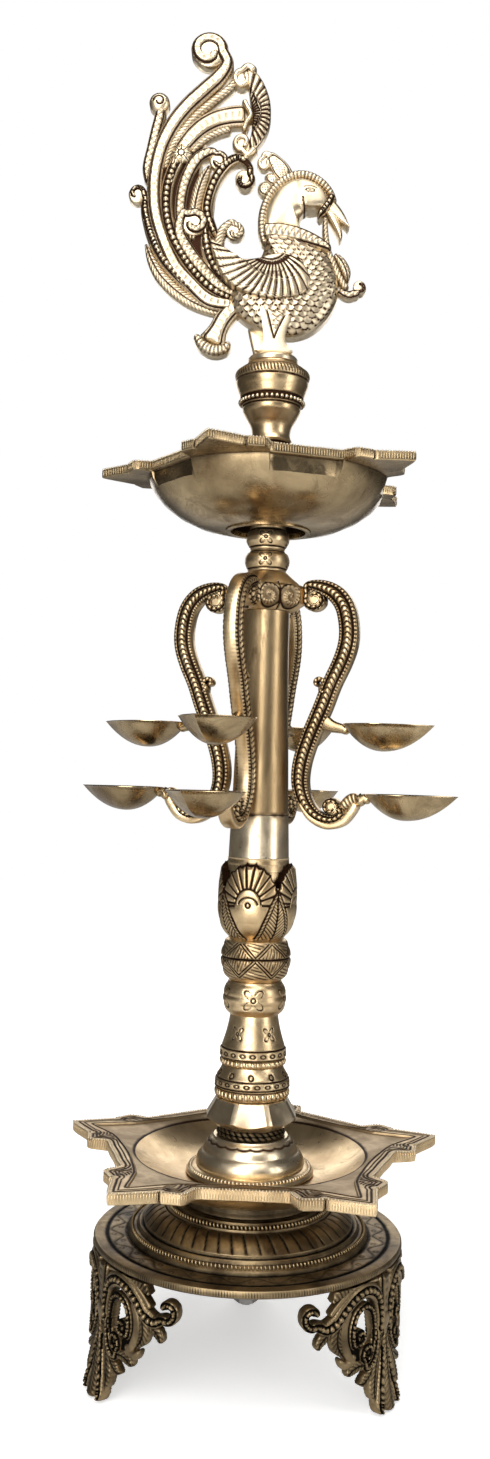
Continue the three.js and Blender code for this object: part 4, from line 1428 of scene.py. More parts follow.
    def _seam(self, turn: Array, height: Array, radius: Array) -> tuple[Array, Array]:
        """A rusty edge at the joint of the column's two lengths."""
        ragged = 0.6 + 0.4 * np.sin(5 * turn + 1.3) * np.sin(11 * turn)
        ends = groove(height, 0.0, 0.9) * (radius < 16.3) + groove(height, 24.0, 1.4) * (radius > 16.2)
        return 0 * height, 0.8 * ragged * ends

    def _neck(self, turn: Array, height: Array, radius: Array) -> tuple[Array, Array]:
        """Four-petal flowers between two lines."""
        cut = engraved_flower(nearest(turn, 4, -95, radius), height - 6.2, 4.6)
        cut = np.clip(cut + groove(height, 1.3, 0.4) + groove(height, 11.2, 0.4), 0, 1)
        return -0.4 * cut, cut

    def add(self) -> None:
        """Builds every turned piece of the stack."""
        stand = Body.STAND
        Turned("tray_bead_moulding", "tray_bead_ring", ((33.4, 0), (35.8, 0.6), (36.0, 1.4, 0.3),
            (33.4, 3.2), (31.4, 4.3)), 12, AGED, stand, Slot.AGED).add()
        BeadRing(33.6, seat("tray_bead_ring") + 3.0, 96, (1.2, 0.85, 1.3),
            14).add("tray_bead_moulding_beads", PALE, stand, Slot.AGED)
        Turned("tray_cone_spun", "tray_cone", ((30.4, 0), (30.6, 1.0, 1.1), (26.4, 8.6, 0.8), (21.4, 15.7),
            (20.9, 16.5)), 12, SILVERY, stand, Slot.POLISHED, self._cone, 240).add()
        Turned("neck_rope_washer", "neck_washer", ((17.4, 0), (18.9, 0.5, 0.6), (18.9, 2.5), (17.7, 2.7),
            (18.7, 3.0, 0.5), (17.6, 5.1)), 4.2, SOOT_AND_SHADE, stand, Slot.DARK, self._washer, 240).add()
        Turned("lower_bell_chased", "lower_bell", ((18.6, 0), (19.8, 0.6, 0.3), (20.0, 4.8), (19.7, 5.3),
            (21.4, 6.3), (21.2, 10.0), (20.2, 12.2, -0.25), (17.0, 18.0)), 12, AGED, stand, Slot.AGED,
            self._lower_bell, 260, 0.5).add()
        BeadRing(20.1, seat("lower_bell") + 2.9, 40, (1.3, 1.4, 2.3), 14).add("lower_bell_rope", AGED,
            stand, Slot.AGED)
        Turned("upper_bell_chased", "upper_bell", ((16.6, 0), (17.6, 0.5, 0.3), (17.8, 3.4), (17.5, 3.8),
            (19.0, 4.7), (18.8, 9.2), (17.9, 10.6, -0.5), (13.6, 28.0)), 9, AGED, stand, Slot.AGED,
            self._upper_bell, 240, 0.5).add()
        BeadRing(17.7, seat("upper_bell") + 2.1, 36, (1.2, 1.3, 1.8), 14).add("upper_bell_rope", AGED,
            stand, Slot.AGED)
        Turned("flower_bead_chased", "flower_bead", ((13.9, 0), (14.8, 0.8, 0.8), (17.5, 6.6, 0.5),
            (17.6, 11.0, 0.8), (15.4, 17.8, 0.4), (14.2, 19.2)), 8, AGED, stand, Slot.AGED,
            self._flower_bead, 240, 0.5).add()
        Turned("band_bead_chased", "band_bead", ((14.8, 0), (15.6, 0.8, 0.9), (18.7, 6.4, 0.6),
            (19.8, 13.1, 0.6), (18.3, 19.4, 0.8), (15.8, 23.5), (15.4, 24.1)), 9, AGED, stand, Slot.AGED,
            self._band_bead, 260, 0.5).add()
        Turned("lotus_cup_chased", "lotus_cup", ((15.4, 0), (17.4, 1.8, 0.6), (21.2, 9.2, 0.6),
            (22.4, 19.4, 0.3), (22.0, 32.8), (21.2, 38.8), (19.4, 42.4), (17.6, 44.9)), 11, AGED, stand,
            Slot.AGED, self._lotus, 420, 0.45).add()
        Turned("column_foot", "column_lower", ((17.2, 0), (16.8, 11.5), (16.4, 22.4), (16.3, 24)), 11,
            SILVERY, stand, Slot.POLISHED, self._seam, columns=96, step=1.5).add()
        Turned("column_shaft", "column_upper", ((16.1, 0), (16.2, 0.5), (15.4, 30.8), (14.3, 65.4),
            (13.8, 99.4), (13.8, 115.6)), 9.5, SHAFT, stand, Slot.AGED, self._seam, columns=96,
            step=1.5).add()
        Turned("lower_neck_chased", "lower_neck_bead", ((10.9, 0), (11.4, 1.2), (12.7, 4.6, 0.3),
            (12.5, 8.6, 0.3), (10.2, 11.6), (9.9, 12.2)), 4.2, AGED, Body.BOWL, Slot.AGED, self._neck, 180,
            0.45).add()
        Turned("upper_neck_chased", "upper_neck_bead", ((9.8, 0), (10.4, 1.2), (12.2, 4.6, 0.3),
            (12.1, 8.4, 0.3), (10.2, 12.0), (9.8, 12.8)), 4.2, AGED, Body.BOWL, Slot.AGED, self._neck, 180,
            0.45).add()
        self._flare()

    def _flare(self) -> None:
        """The eight-sided flare with hollowed faces and softened corners."""
        rows = ((19.4, 0.0), (20.4, 0.5), (26.8, 4.4), (27.3, 5.0), (27.0, 5.8), (21.4, 15.6), (20.9, 16.0))
        columns, bore = 192, 14.0
        turn = np.arange(columns) / columns * TURN
        face = (turn + math.pi / 8) % (math.pi / 4) - math.pi / 8
        flat = math.cos(math.pi / 8) / np.cos(face)
        soft = np.minimum(flat, 0.975)
        base = seat("faceted_flare")
        out = []
        for (r0, z0), (r1, z1) in zip(rows, rows[1:]):
            for share in np.linspace(0, 1, 5, endpoint=False):
                radius = (r0 + (r1 - r0) * share) * soft
                dip = 0.9 * np.cos(8 * turn) * np.clip((radius - 21) / 6, 0, 1)
                out.append(np.stack([radius * np.cos(turn), radius * np.sin(turn),
                    base + z0 + (z1 - z0) * share - dip], axis=1))
        for radius, height in (rows[-1], (bore, rows[-1][1]), (bore, 0.0)):
            reach = radius * (soft if radius > bore else np.ones_like(soft))
            out.append(np.stack([reach * np.cos(turn), reach * np.sin(turn), 0 * turn + base + height],
                axis=1))
        mesh = plain_mesh("faceted_flare_cut", np.vstack(out), [torus_faces(len(out), columns)], sharp=12)
        place("faceted_flare_cut", mesh, SILVERY, Body.STAND, Slot.PALE, "faceted_flare")


# The branches
@dataclass(frozen=True)
class Cup:
    """A leaf-shaped oil cup: where it starts, its tip, its rim's height and its depth."""

    start: float
    tip: float
    rim: float
    depth: float
    half_width: float = 21.0

    EDGE = ((0.0, 0.0), (0.02, 0.20), (0.08, 0.58), (0.2, 0.87), (0.42, 1.0), (0.62, 0.83), (0.8, 0.52),
        (0.93, 0.2), (1.0, 0.0))

    def mesh(self, name: str, angle: float) -> bpy.types.Mesh:
        """Skins the thin cup.

        Args:
            name: The mesh's name.
            angle: The branch's angle in degrees.

        Returns:
            The closed mesh.
        """
        half = smooth_line(self.EDGE, 6)
        half[:, 1] = np.clip(half[:, 1], 0, None)
        plan = np.vstack([half, (half * (1, -1))[-2:0:-1]])
        length = self.tip - self.start
        keel = 0.45
        outside = [(s, 1 - s**2.1) for s in np.linspace(0.04, 0.985, 16)]
        inside = [(s * 0.95, 1 - s**2.1) for s in np.linspace(0.975, 0.04, 14)]
        rings = []
        for scale, drop in outside:
            rings.append((scale, self.depth * drop))
        rings += [(1.0, 0.35), (0.995, 0.0), (0.965, 0.0)]
        for scale, drop in inside:
            rings.append((scale, max(0.35, (self.depth - 1.3) * drop)))
        x = np.stack([self.start + length * (keel + (plan[:, 0] - keel) * s) for s, _ in rings])
        y = np.stack([self.half_width * plan[:, 1] * s for s, _ in rings])
        z = np.stack([np.full(len(plan), self.rim - d) for _, d in rings])
        points = np.stack([x.ravel(), z.ravel(), -y.ravel()], axis=1)
        ends = [[self.start + keel * length, self.rim - rings[end][1], 0] for end in (0, -1)]
        placed = upright(angle)(*np.vstack([points, ends]).T)
        return plain_mesh(name, placed, tube_faces(len(rings), len(plan)), sharp=50)


@dataclass(frozen=True)
class Branches:
    """The collar with its four branches and eight oil cups."""

    angles: tuple[tuple[str, float], ...] = (("right", -20.0), ("front", -110.0), ("left", 160.0),
        ("back", 70.0))
    lower: Cup = Cup(61, 113.8, 322.2, 14.2)
    upper: Cup = Cup(47.8, 100, 360.6, 14.8)

    def _collar_relief(self, turn: Array, height: Array, radius: Array) -> tuple[Array, Array]:
        """Two curled feathers on each face, hatched."""
        x = nearest(turn, 4, self.angles[0][1] + 45, radius)
        side = np.abs(x) - 6.6
        away, lean = np.hypot(side, height - 7.6), np.arctan2(height - 7.6, side)
        spiral = 0.5 + 0.5 * np.cos(lean - 1.15 * away)
        curl = (away < 6.6) * spiral
        hatch = comb(lean * 4 + 0.4 * away, 1.8, 0.4) * (away < 6.6) * (spiral > 0.5)
        frame = groove(np.abs(x), 0.0, 0.6) + groove(away, 6.9, 0.45)
        cut = np.clip((1 - spiral) * (away < 6.6) * 0.45 + 0.5 * hatch + 0.8 * frame, 0, 1) * (height < 16)
        return 0.9 * curl * (height < 16) - 0.5 * cut, cut

    def _collar(self) -> None:
        """The square collar with its rounded corners and its pyramid top."""
        rows = profile(((17.6, 0), (22.4, 3.0, 0.5), (23.6, 5.5), (23.4, 12.4, 0.6), (20.4, 14.8),
            (15.6, 18.8), (12.0, 22.1)), 0.5)
        columns, bore = 320, 6.0
        turn = np.arange(columns) / columns * TURN
        square = turn - math.radians(self.angles[0][1] + 45)
        blunt = (np.abs(np.cos(square)) ** 6 + np.abs(np.sin(square)) ** 6) ** (-1 / 6)
        blunt = blunt / blunt.max()
        around = turn[None, :] + 0 * rows[:, :1]
        roundness = np.clip((rows[:, 1:] - 15) / 7, 0, 1)
        radius = rows[:, :1] * (blunt[None, :] * (1 - roundness) + roundness)
        height = rows[:, 1:] + 0 * around
        rise, shade = self._collar_relief(around, height, radius)
        rise[0] = rise[-1] = 0
        radius = np.vstack([radius + rise, np.full((2, columns), bore)])
        height = np.vstack([height, height[-1:], height[:1]]) + seat("branch_collar")
        shade = np.vstack([shade, np.zeros((2, columns))])
        points = np.stack([radius * np.cos(turn), radius * np.sin(turn), height], axis=-1).reshape(-1, 3)
        mesh = plain_mesh("branch_collar_chased", points, [torus_faces(len(radius), columns)], shade.ravel())
        place("branch_collar_chased", mesh, AGED, Body.BRANCHES, Slot.AGED, "branch_collar")

    def _arm(self, tag: str, angle: float) -> None:
        """One branch: the scaled bar with its snails, hook and shell, and its two cups on their necks.

        Args:
            tag: The branch's name.
            angle: Its angle in degrees.
        """
        lay = upright(angle)
        look = AGED, Body.BRANCHES, Slot.AGED
        bar = Strap(((25.6, 438.6, 2.2), (33, 438.0, 3.9), (41.5, 434.2, 4.9), (47.6, 426.5, 5.3),
            (50.2, 415, 5.4), (49.8, 405, 5.4), (46.6, 395, 5.3), (41.2, 383.3, 5.2), (36.2, 370, 5.2),
            (29.2, 353, 5.1), (24.8, 338.5, 5.0), (24.2, 326, 4.7), (28.0, 315.6, 4.0), (35.2, 308.9, 3.0),
            (43.6, 307.2, 2.4), (49.0, 310.6, 2.0)), 4.9, Chase.SCALED, Curl(43.2, 314.0, 5.4, 1.1),
            Curl(29.8, 431.2, 7.0, 1.15), 0.6, 25)
        cast(f"arm_{tag}_bar", bar, lay, *look, f"arm_{tag}")
        for where, core in zip(("foot", "head"), bar.cores()):
            cast(f"arm_{tag}_{where}_core", core, lay, *look)
        outer = Strap(((24.2, 316, 1.0), (30.6, 307.8, 1.6), (40, 303.6, 1.9), (49, 305.8, 2.2),
            (54.4, 312, 2.4), (57.4, 317.4, 2.2)), 4.2, edge=0.7)
        cast(f"arm_{tag}_heel", outer, lay, *look)
        shell = Strap(((48.6, 313.4, 2.0), (51.8, 316.6, 3.2), (55.4, 319.0, 3.4), (58.6, 320.0, 2.0)), 4.3,
            Chase.RIBBED, step=0.4)
        cast(f"arm_{tag}_shell", shell, lay, *look)
        hook = Strap(((40.0, 372, 2.2), (36.6, 377, 2.6), (35.4, 381, 2.0)), 3.6, Chase.RIBBED,
            Curl(33.4, 383.6, 4.2, 1.0), step=0.4)
        cast(f"arm_{tag}_hook", hook, lay, *look)
        for level, cup, root in (("lower", self.lower, (57.0, 319.0)), ("upper", self.upper, (34.5, 362.6))):
            rise = cup.rim - 2.4
            neck = Strap(((root[0], root[1], 5.6), ((root[0] + cup.start) / 2, (root[1] + rise) / 2 - 0.9,
                3.6), (cup.start + 0.6, rise - 0.4, 2.6), (cup.start + 4.0, rise - 2.0, 2.6)), 3.4,
                Chase.PLAIN, edge=0.3, step=0.4, across=11)
            cast(f"{level}_cup_neck_{tag}", neck, lay, OLIVE, *look[1:], f"{level}_cup_pin_{tag}")
            name = f"{level}_oil_cup_{tag}"
            place(name, cup.mesh(name, angle), OLIVE, *look[1:], f"{level}_cup_{tag}")

    def add(self) -> None:
        """Builds the collar and the four branches."""
        self._collar()
        for tag, angle in self.angles:
            self._arm(tag, angle)


# The bowl's centre and the finial
@dataclass(frozen=True)
class FinialPot:
    """The pot that carries the peacock, and the bowl's socket and hub under it."""

    def _pot_relief(self, turn: Array, height: Array, radius: Array) -> tuple[Array, Array]:
        """Hatching on the shoulder, dark lines round the belly, and painted shade on the bands behind the
        bead rings.
        """
        hatch = comb(turn * 20 + 0.25 * height, 1.9, 0.4) * (height > 42.5) * (height < 47.0)
        lines = groove(height, 41.4, 0.6) + groove(height, 31.2, 0.55) + groove(height, 26.2, 0.55)
        lines = lines + 0.7 * groove(height, 47.8, 0.45) + groove(height, 4.8, 0.6)
        # Painted shade: the bands behind the two bead rings are darkened so the beads stand out.
        shade_behind_beads = 0.8 * (((height > 0.5) & (height < 4.0)) | ((height > 27.2) & (height < 30.6)))
        cut = np.clip(0.8 * hatch + lines, 0, 1)
        return -0.4 * cut, np.maximum(cut, shade_behind_beads)

    def add(self) -> None:
        """Builds the pot, the socket and the hub."""
        pot = Turned("finial_pot_turned", "finial_pot", ((11.4, 0), (12.2, 0.7, 0.5), (12.3, 3.4),
            (11.2, 4.6), (11.8, 5.8), (12.2, 6.8), (11.4, 8.6, -1.0), (13.2, 17.6), (16.2, 22.8, 0.2),
            (17.0, 26.2), (17.2, 27.0), (17.9, 30.4), (18.1, 31.2), (19.9, 36.4, 0.2), (21.1, 41.0),
            (21.0, 41.8), (21.5, 43.2, 0.4), (20.9, 46.4), (19.4, 47.6), (18.8, 48.2), (16.4, 49.4, -0.3),
            (15.2, 50.9)), 4.2, GOLDEN, Body.FINIAL, Slot.POLISHED, self._pot_relief, 240, 0.55)
        pot.add()
        base = seat("finial_pot")
        BeadRing(18.1, base + 28.9, 40, (1.35, 1.2, 1.25)).add("finial_pot_beads", PALE, Body.FINIAL,
            Slot.POLISHED)
        BeadRing(12.5, base + 2.2, 24, (1.45, 1.3, 1.5), 10).add("finial_pot_foot_beads", PALE, Body.FINIAL,
            Slot.POLISHED)
        Turned("bowl_socket_spun", "bowl_socket", ((10, 0), (10.6, 1.6, -0.9), (13.8, 7.8),
            (15.4, 8.0, -0.6), (21.0, 7.8), (21.6, -1.2), (23.2, -1.4, 0.2), (24.3, -0.8), (24.3, 12.2)),
            4.2, OLIVE, Body.BOWL, Slot.AGED, self._socket_relief, 128, 0.8).add()
        Turned("oil_hub_turned", "oil_hub", ((20, 0), (19.6, 1.2), (16.6, 5.2, -0.8), (11.2, 13.6, -0.6),
            (10.1, 25.6), (12.1, 30.6)), 4.2, GOLDEN, Body.BOWL, Slot.AGED, columns=96).add()

    def _socket_relief(self, turn: Array, height: Array, radius: Array) -> tuple[Array, Array]:
        """Darkens the ring-shaped hollow with painted shade."""
        shade = ((radius > 13.2) & (radius < 21.7) & (height > 2)) * 1.0
        return 0 * height, shade


# The peacock
@dataclass(frozen=True)
class Peacock:
    """The peacock, cast flat with deep chasing, looking along +X."""

    body_centre: tuple[float, float] = (7.0, 611.0)

    def plumes(self) -> dict[str, Strap]:
        """The tail's plumes, curls and leaves."""
        return {
            "plume_top": Strap(((-24, 601, 4.2), (-38, 603.5, 4.8), (-49, 613, 4.6), (-58, 623, 4.4),
                (-65, 637, 4.3), (-70, 652, 4.3), (-71.6, 666, 4.3), (-71, 679, 4.4), (-68, 693, 4.6),
                (-62, 706, 4.9), (-54, 717, 5.0), (-44, 727, 5.0), (-36, 735, 4.6), (-31.6, 743, 3.8)), 6.6,
                Chase.INLAID, Curl(-42, 750, 11.2, 1.15)),
            "plume_top_under": Strap(((-66, 680, 1.2), (-62, 693, 2.4), (-56, 703, 2.6), (-48, 713, 2.6),
                (-38, 722, 2.6), (-29, 730, 2.4), (-26, 736, 1.6)), 4.6, Chase.ROPED),
            "plume_fan": Strap(((-62, 670, 1.6), (-60, 684, 3.4), (-55, 694, 5.0), (-47, 703.5, 5.8),
                (-38, 709.4, 6.2), (-29, 712, 6.4), (-20, 713, 6.6)), 5.6, Chase.INLAID),
            "plume_fan_under": Strap(((-51, 690, 1.0), (-44, 697.5, 2.0), (-36, 702.6, 2.2),
                (-28, 705.2, 2.0)), 4.4, Chase.ROPED),
            "plume_left": Strap(((-76, 672, 1.4), (-76, 681, 2.9), (-73.8, 692, 3.1), (-71.6, 703, 3.2),
                (-69.6, 712, 3.2), (-69.6, 716, 3.0)), 5.2, Chase.ZIGZAG),
            "plume_hook": Strap(((-30, 600, 2.6), (-46, 608.5, 3.4), (-58, 618.6, 3.6), (-66.6, 629, 3.5),
                (-72, 640, 3.3), (-75.4, 651, 3.0), (-76.6, 658, 2.6), (-76.4, 662, 2.2)), 5.4,
                Chase.BEADED, Curl(-81.4, 664.5, 5.9, 0.85)),
            "plume_leaf": Strap(((-75.6, 636, 0.8), (-72, 626.6, 2.6), (-66, 617, 3.6), (-57, 608.6, 3.8),
                (-47, 602.2, 3.4), (-35, 597.6, 2.4), (-27, 596.6, 1.2)), 4.2, Chase.LEAFY),
            "plume_beaded": Strap(((-24, 604, 2.6), (-36, 609.6, 3.4), (-46, 618.6, 3.7), (-54, 629, 3.8),
                (-60.6, 641, 3.8), (-64, 654, 3.8), (-64.2, 667, 3.8), (-61.6, 678, 3.8), (-58, 686, 3.8)),
                6.2, Chase.BEADED),
            "plume_curl_high": Strap(((-54, 640, 1.6), (-56, 652, 3.2), (-55.4, 666, 3.5), (-52, 678, 3.6),
                (-46.5, 687, 3.5), (-39.6, 690.6, 2.9)), 5.8, Chase.ZIGZAG, Curl(-35, 685.6, 6.1, 0.95)),
            "plume_curl_right": Strap(((-35.4, 641, 2.6), (-40.6, 655, 3.2), (-39.4, 666, 3.3),
                (-35.6, 676, 3.4), (-29.4, 684.4, 3.4), (-22.6, 687.2, 3.0), (-17.0, 682.6, 2.2)), 5.6,
                Chase.BEADED, Curl(-19.6, 675.4, 6.3, 0.9)),
            "plume_inlay": Strap(((-49, 638, 1.6), (-48.4, 651, 3.4), (-46.8, 664, 3.7), (-43.6, 675, 3.2),
                (-39.6, 683, 1.0)), 4.8, Chase.LEAFY),
            "plume_low": Strap(((-22, 606, 2.4), (-33, 612.6, 3.6), (-43, 622.4, 4.0), (-51, 632.4, 4.0),
                (-56.4, 643, 3.5), (-55, 653, 2.9)), 6.8, Chase.ZIGZAG, Curl(-48, 648.4, 8.8, 1.0)),
            "plume_inner": Strap(((-24, 612, 2.0), (-32, 619, 3.4), (-38.0, 628, 4.2), (-40.6, 638, 3.6),
                (-41.4, 646, 1.0)), 5.4, Chase.BEADED),
            "roped_curl": Strap(((-27.4, 618, 2.6), (-31.4, 626, 3.1), (-33.4, 636, 3.1),
                (-31.6, 644.6, 2.8), (-26.6, 649.6, 2.2)), 5.2, Chase.ROPED, Curl(-24.4, 644.6, 5.8, 0.95)),
            "fan_joint": Strap(((-21.5, 722, 1.6), (-19.5, 718, 1.6), (-17.0, 713, 1.6), (-19.5, 708, 1.6),
                (-21.0, 703, 1.6)), 6.2, across=11),
            "tail_fork": Strap(((-4, 606, 3.0), (-14, 605, 5.0), (-22, 601.4, 5.6), (-28.6, 594, 5.4),
                (-32.4, 586.6, 5.6), (-35.8, 578.6, 8.6)), 6.0, Chase.INLAID),
            "tail_heel": Strap(((-45.4, 583.4, 1.6), (-41, 577.4, 3.0), (-35, 574.4, 3.4),
                (-28.4, 575.4, 3.0), (-25.4, 579.6, 1.4)), 6.6, Chase.RIBBED),
            # Painted shadow: dark sheets between the plumes, coloured wholly in the painted shade.
            "tail_shadow_sheet": Strap(((-22, 603, 6), (-42, 616, 9.0), (-54, 633, 11.5), (-58.5, 650, 12.5),
                (-58, 668, 13.5), (-55, 684, 11), (-50, 697, 7.5), (-40, 707, 4)), 2.6, Chase.SHADOW,
                across=9, step=1.5),
            "tail_web_inner": Strap(((-20, 604, 6), (-30, 613, 9.0), (-40, 627, 10.0), (-46, 643, 9),
                (-46, 660, 9.5), (-42, 675, 7)), 2.9, Chase.SHADOW, across=9, step=1.5),
        }

    def _fan_relief(self, x: Array, z: Array, share: Array) -> tuple[Array, Array]:
        """Ribs that radiate from the fan's joint."""
        lean = np.degrees(np.arctan2(z - 713.5, x + 21))
        away = np.hypot(x + 21, z - 713.5)
        rib = groove((lean / 11 + 0.5) % 1 * 11 - 5.5, 0, 60 / np.maximum(away, 4) * 0.62) * (share < 0.93)
        return -0.9 * rib, rib

    def _wing_relief(self, x: Array, z: Array, share: Array) -> tuple[Array, Array]:
        """Feathers that radiate from the shoulder, each with fine lines."""
        dx, dz = x + 3.0, (z - 629.5)
        away, lean = np.hypot(dx, 1.25 * dz), np.degrees(np.arctan2(dz, dx))
        pitch = 9.6
        phase = ((lean + 0.5 * away) / pitch + 0.5) % 1 * pitch - pitch / 2
        width = 60 / np.maximum(away, 5)
        rib = groove(phase, 0, width * 0.5) * (away > 9)
        fine = groove(np.abs(phase), pitch * 0.25, width * 0.2) * (away > 16) * 0.45
        shoulder = groove(away, 10.8, 0.7) + groove(away, 7.6, 0.6)
        shoulder = shoulder * (dz < 2.5)
        hatch = comb(lean * 0.2, 0.9, 0.25) * (away > 8.4) * (away < 10.2) * 0.5
        cut = np.clip(rib + fine + shoulder + hatch, 0, 1)
        return -0.85 * cut + 0.5 * (away < 8), cut

    def _scale_relief(self, x: Array, z: Array, share: Array) -> tuple[Array, Array]:
        """Scales that hang downwards."""
        height, shade = scale_rows(x + 0.12 * (z - 610), z)
        return 0.9 * height, shade * (share < 0.97)

    def _head_relief(self, x: Array, z: Array, share: Array) -> tuple[Array, Array]:
        """An almond eye with its brow, and a step behind the cheek with painted shade along its crease."""
        lens = np.hypot((x - 18.6) / 2.5, (z - 667.6) / 1.15)
        brow = groove(z - 670.4 + 0.06 * (x - 18.6) ** 2, 0, 0.3) * (np.abs(x - 18.6) < 4)
        eye = groove(lens, 1.0, 0.16) + 0.8 * groove(lens, 0, 0.35)
        line = x - 14.5 - 0.18 * (663 - z)
        # Painted shade: a dark line along the fold where the cheek steps over the neck.
        crease = groove(line, 0.0, 0.5) * (z < 664) * (z > 650)
        cut = np.clip(eye + 0.7 * brow + crease, 0, 1)
        step = 1.0 * np.clip((line + 2.5) / 3.5, 0, 1) * (z > 650)
        return -0.35 * cut + step, cut

    def plaques(self) -> dict[str, Plaque]:
        """The peacock's body, wing, head and crest."""
        return {
            "chest": Plaque(self.body_centre, ((-7.4, 646), (-6.6, 637), (-9.4, 628), (-17, 620),
                (-25.4, 609), (-24, 598), (-15, 590), (-4, 585), (9, 582.8), (21, 586.2), (30.6, 595),
                (36.2, 607.6), (35.4, 620), (31.8, 629), (28, 634.4), (17, 640), (4, 645.6)), 13.6, 3.4,
                2.6, self._scale_relief, 12, 46),
            "wing": Plaque((-5.5, 614.4), ((-37.6, 634.6), (-30.6, 629.6), (-22, 624.4), (-12, 624.4),
                (-2, 627.4), (6, 627.6), (13.6, 624.4), (18.6, 617.6), (19.6, 610.4), (15.6, 605),
                (8, 602.8), (-2, 601.8), (-13, 603.8), (-23.4, 608.4), (-30.6, 615.4), (-35, 625)), 16.8,
                14.2, 3.2, self._wing_relief, 12, 44),
            "head": Plaque((7.4, 660.4), ((-6.0, 646.8), (-7.2, 655), (-4.6, 664), (0.6, 671), (8, 675.8),
                (15.6, 676.4), (22.6, 673.6), (28, 668.6), (30.6, 662.4), (27.6, 659.4), (22.6, 658.2),
                (17.4, 657.6), (13.6, 654.0), (12.6, 649.6), (13.4, 645.0), (4, 646.4)), 8.6, 3.4, 2.6,
                self._head_relief, 10, 40),
            "fan": Plaque((-11.2, 714.4), ((-21.4, 742.6), (-14.6, 738.8), (-9.2, 731), (-5.9, 721),
                (-5.6, 710), (-8.6, 700.4), (-14.4, 692.6), (-19.4, 688.2), (-18.8, 693.6), (-16.8, 700.6),
                (-16.2, 707), (-16.4, 714), (-17.6, 722), (-18.6, 729), (-20.4, 735)), 5.6, 2.6, 2.6,
                self._fan_relief, 10, 30),
            "crest": Plaque((-0.6, 682.4), ((6.6, 676.4), (8.2, 680.4), (5.2, 685.4), (0.8, 689.4),
                (-4.2, 692.2), (-7.6, 689.8), (-5.6, 684.4), (-2.4, 678.4), (2.2, 674)), 4.6, 2.0, 3.0,
                self._lobe_relief),
            "plume_ball": Plaque((-70.2, 719.0), circle(-70.2, 719.0, 5.9), 6.4, 2.6, 2.2,
                self._snail_relief),
            "crest_ball": Plaque((-7.2, 670.2), circle(-7.2, 670.2, 4.6), 4.6, 1.8, 2.2, self._lobe_relief),
            "crest_lobe": Plaque((-3.6, 676.2), ((-8, 677.2), (-5.4, 679.6), (-1.6, 678.4), (0.8, 674),
                (-2, 672.2), (-6, 673.6)), 4.8, 1.8, 2.6, self._lobe_relief),
            "tail_flower": Plaque((-56.4, 688.4), tuple((reach * math.cos(a) - 56.4,
                reach * math.sin(a) + 688.4) for a, reach in ((a, 5.6 + 0.6 * math.cos(8 * a))
                for a in np.arange(32) / 32 * TURN)), 7.2, 4.4, 2.4, self._flower_relief, 3, 22),
        }

    def _snail_relief(self, x: Array, z: Array, share: Array) -> tuple[Array, Array]:
        """One turn of a spiral line."""
        lean = np.arctan2(z - 719.0, x + 70.2)
        cut = groove(share, 0.42 + 0.2 * lean / math.pi, 0.09) * (share > 0.2)
        return -0.4 * cut, cut

    def _lobe_relief(self, x: Array, z: Array, share: Array) -> tuple[Array, Array]:
        """A border line with stippling inside it."""
        dots = comb(x + 0.3 * z, 1.6, 0.35) * comb(z, 1.5, 0.35) * (share < 0.62)
        cut = np.clip(groove(share, 0.76, 0.06) + 0.8 * dots, 0, 1)
        return -0.35 * cut, cut

    def _flower_relief(self, x: Array, z: Array, share: Array) -> tuple[Array, Array]:
        """Petals round a raised middle."""
        lean = np.arctan2(z - 688.4, x + 56.4)
        cut = np.clip(groove(np.sin(4 * lean), 0, 0.22) * (share > 0.36) + groove(share, 0.34, 0.06), 0, 1)
        return -0.5 * cut, cut

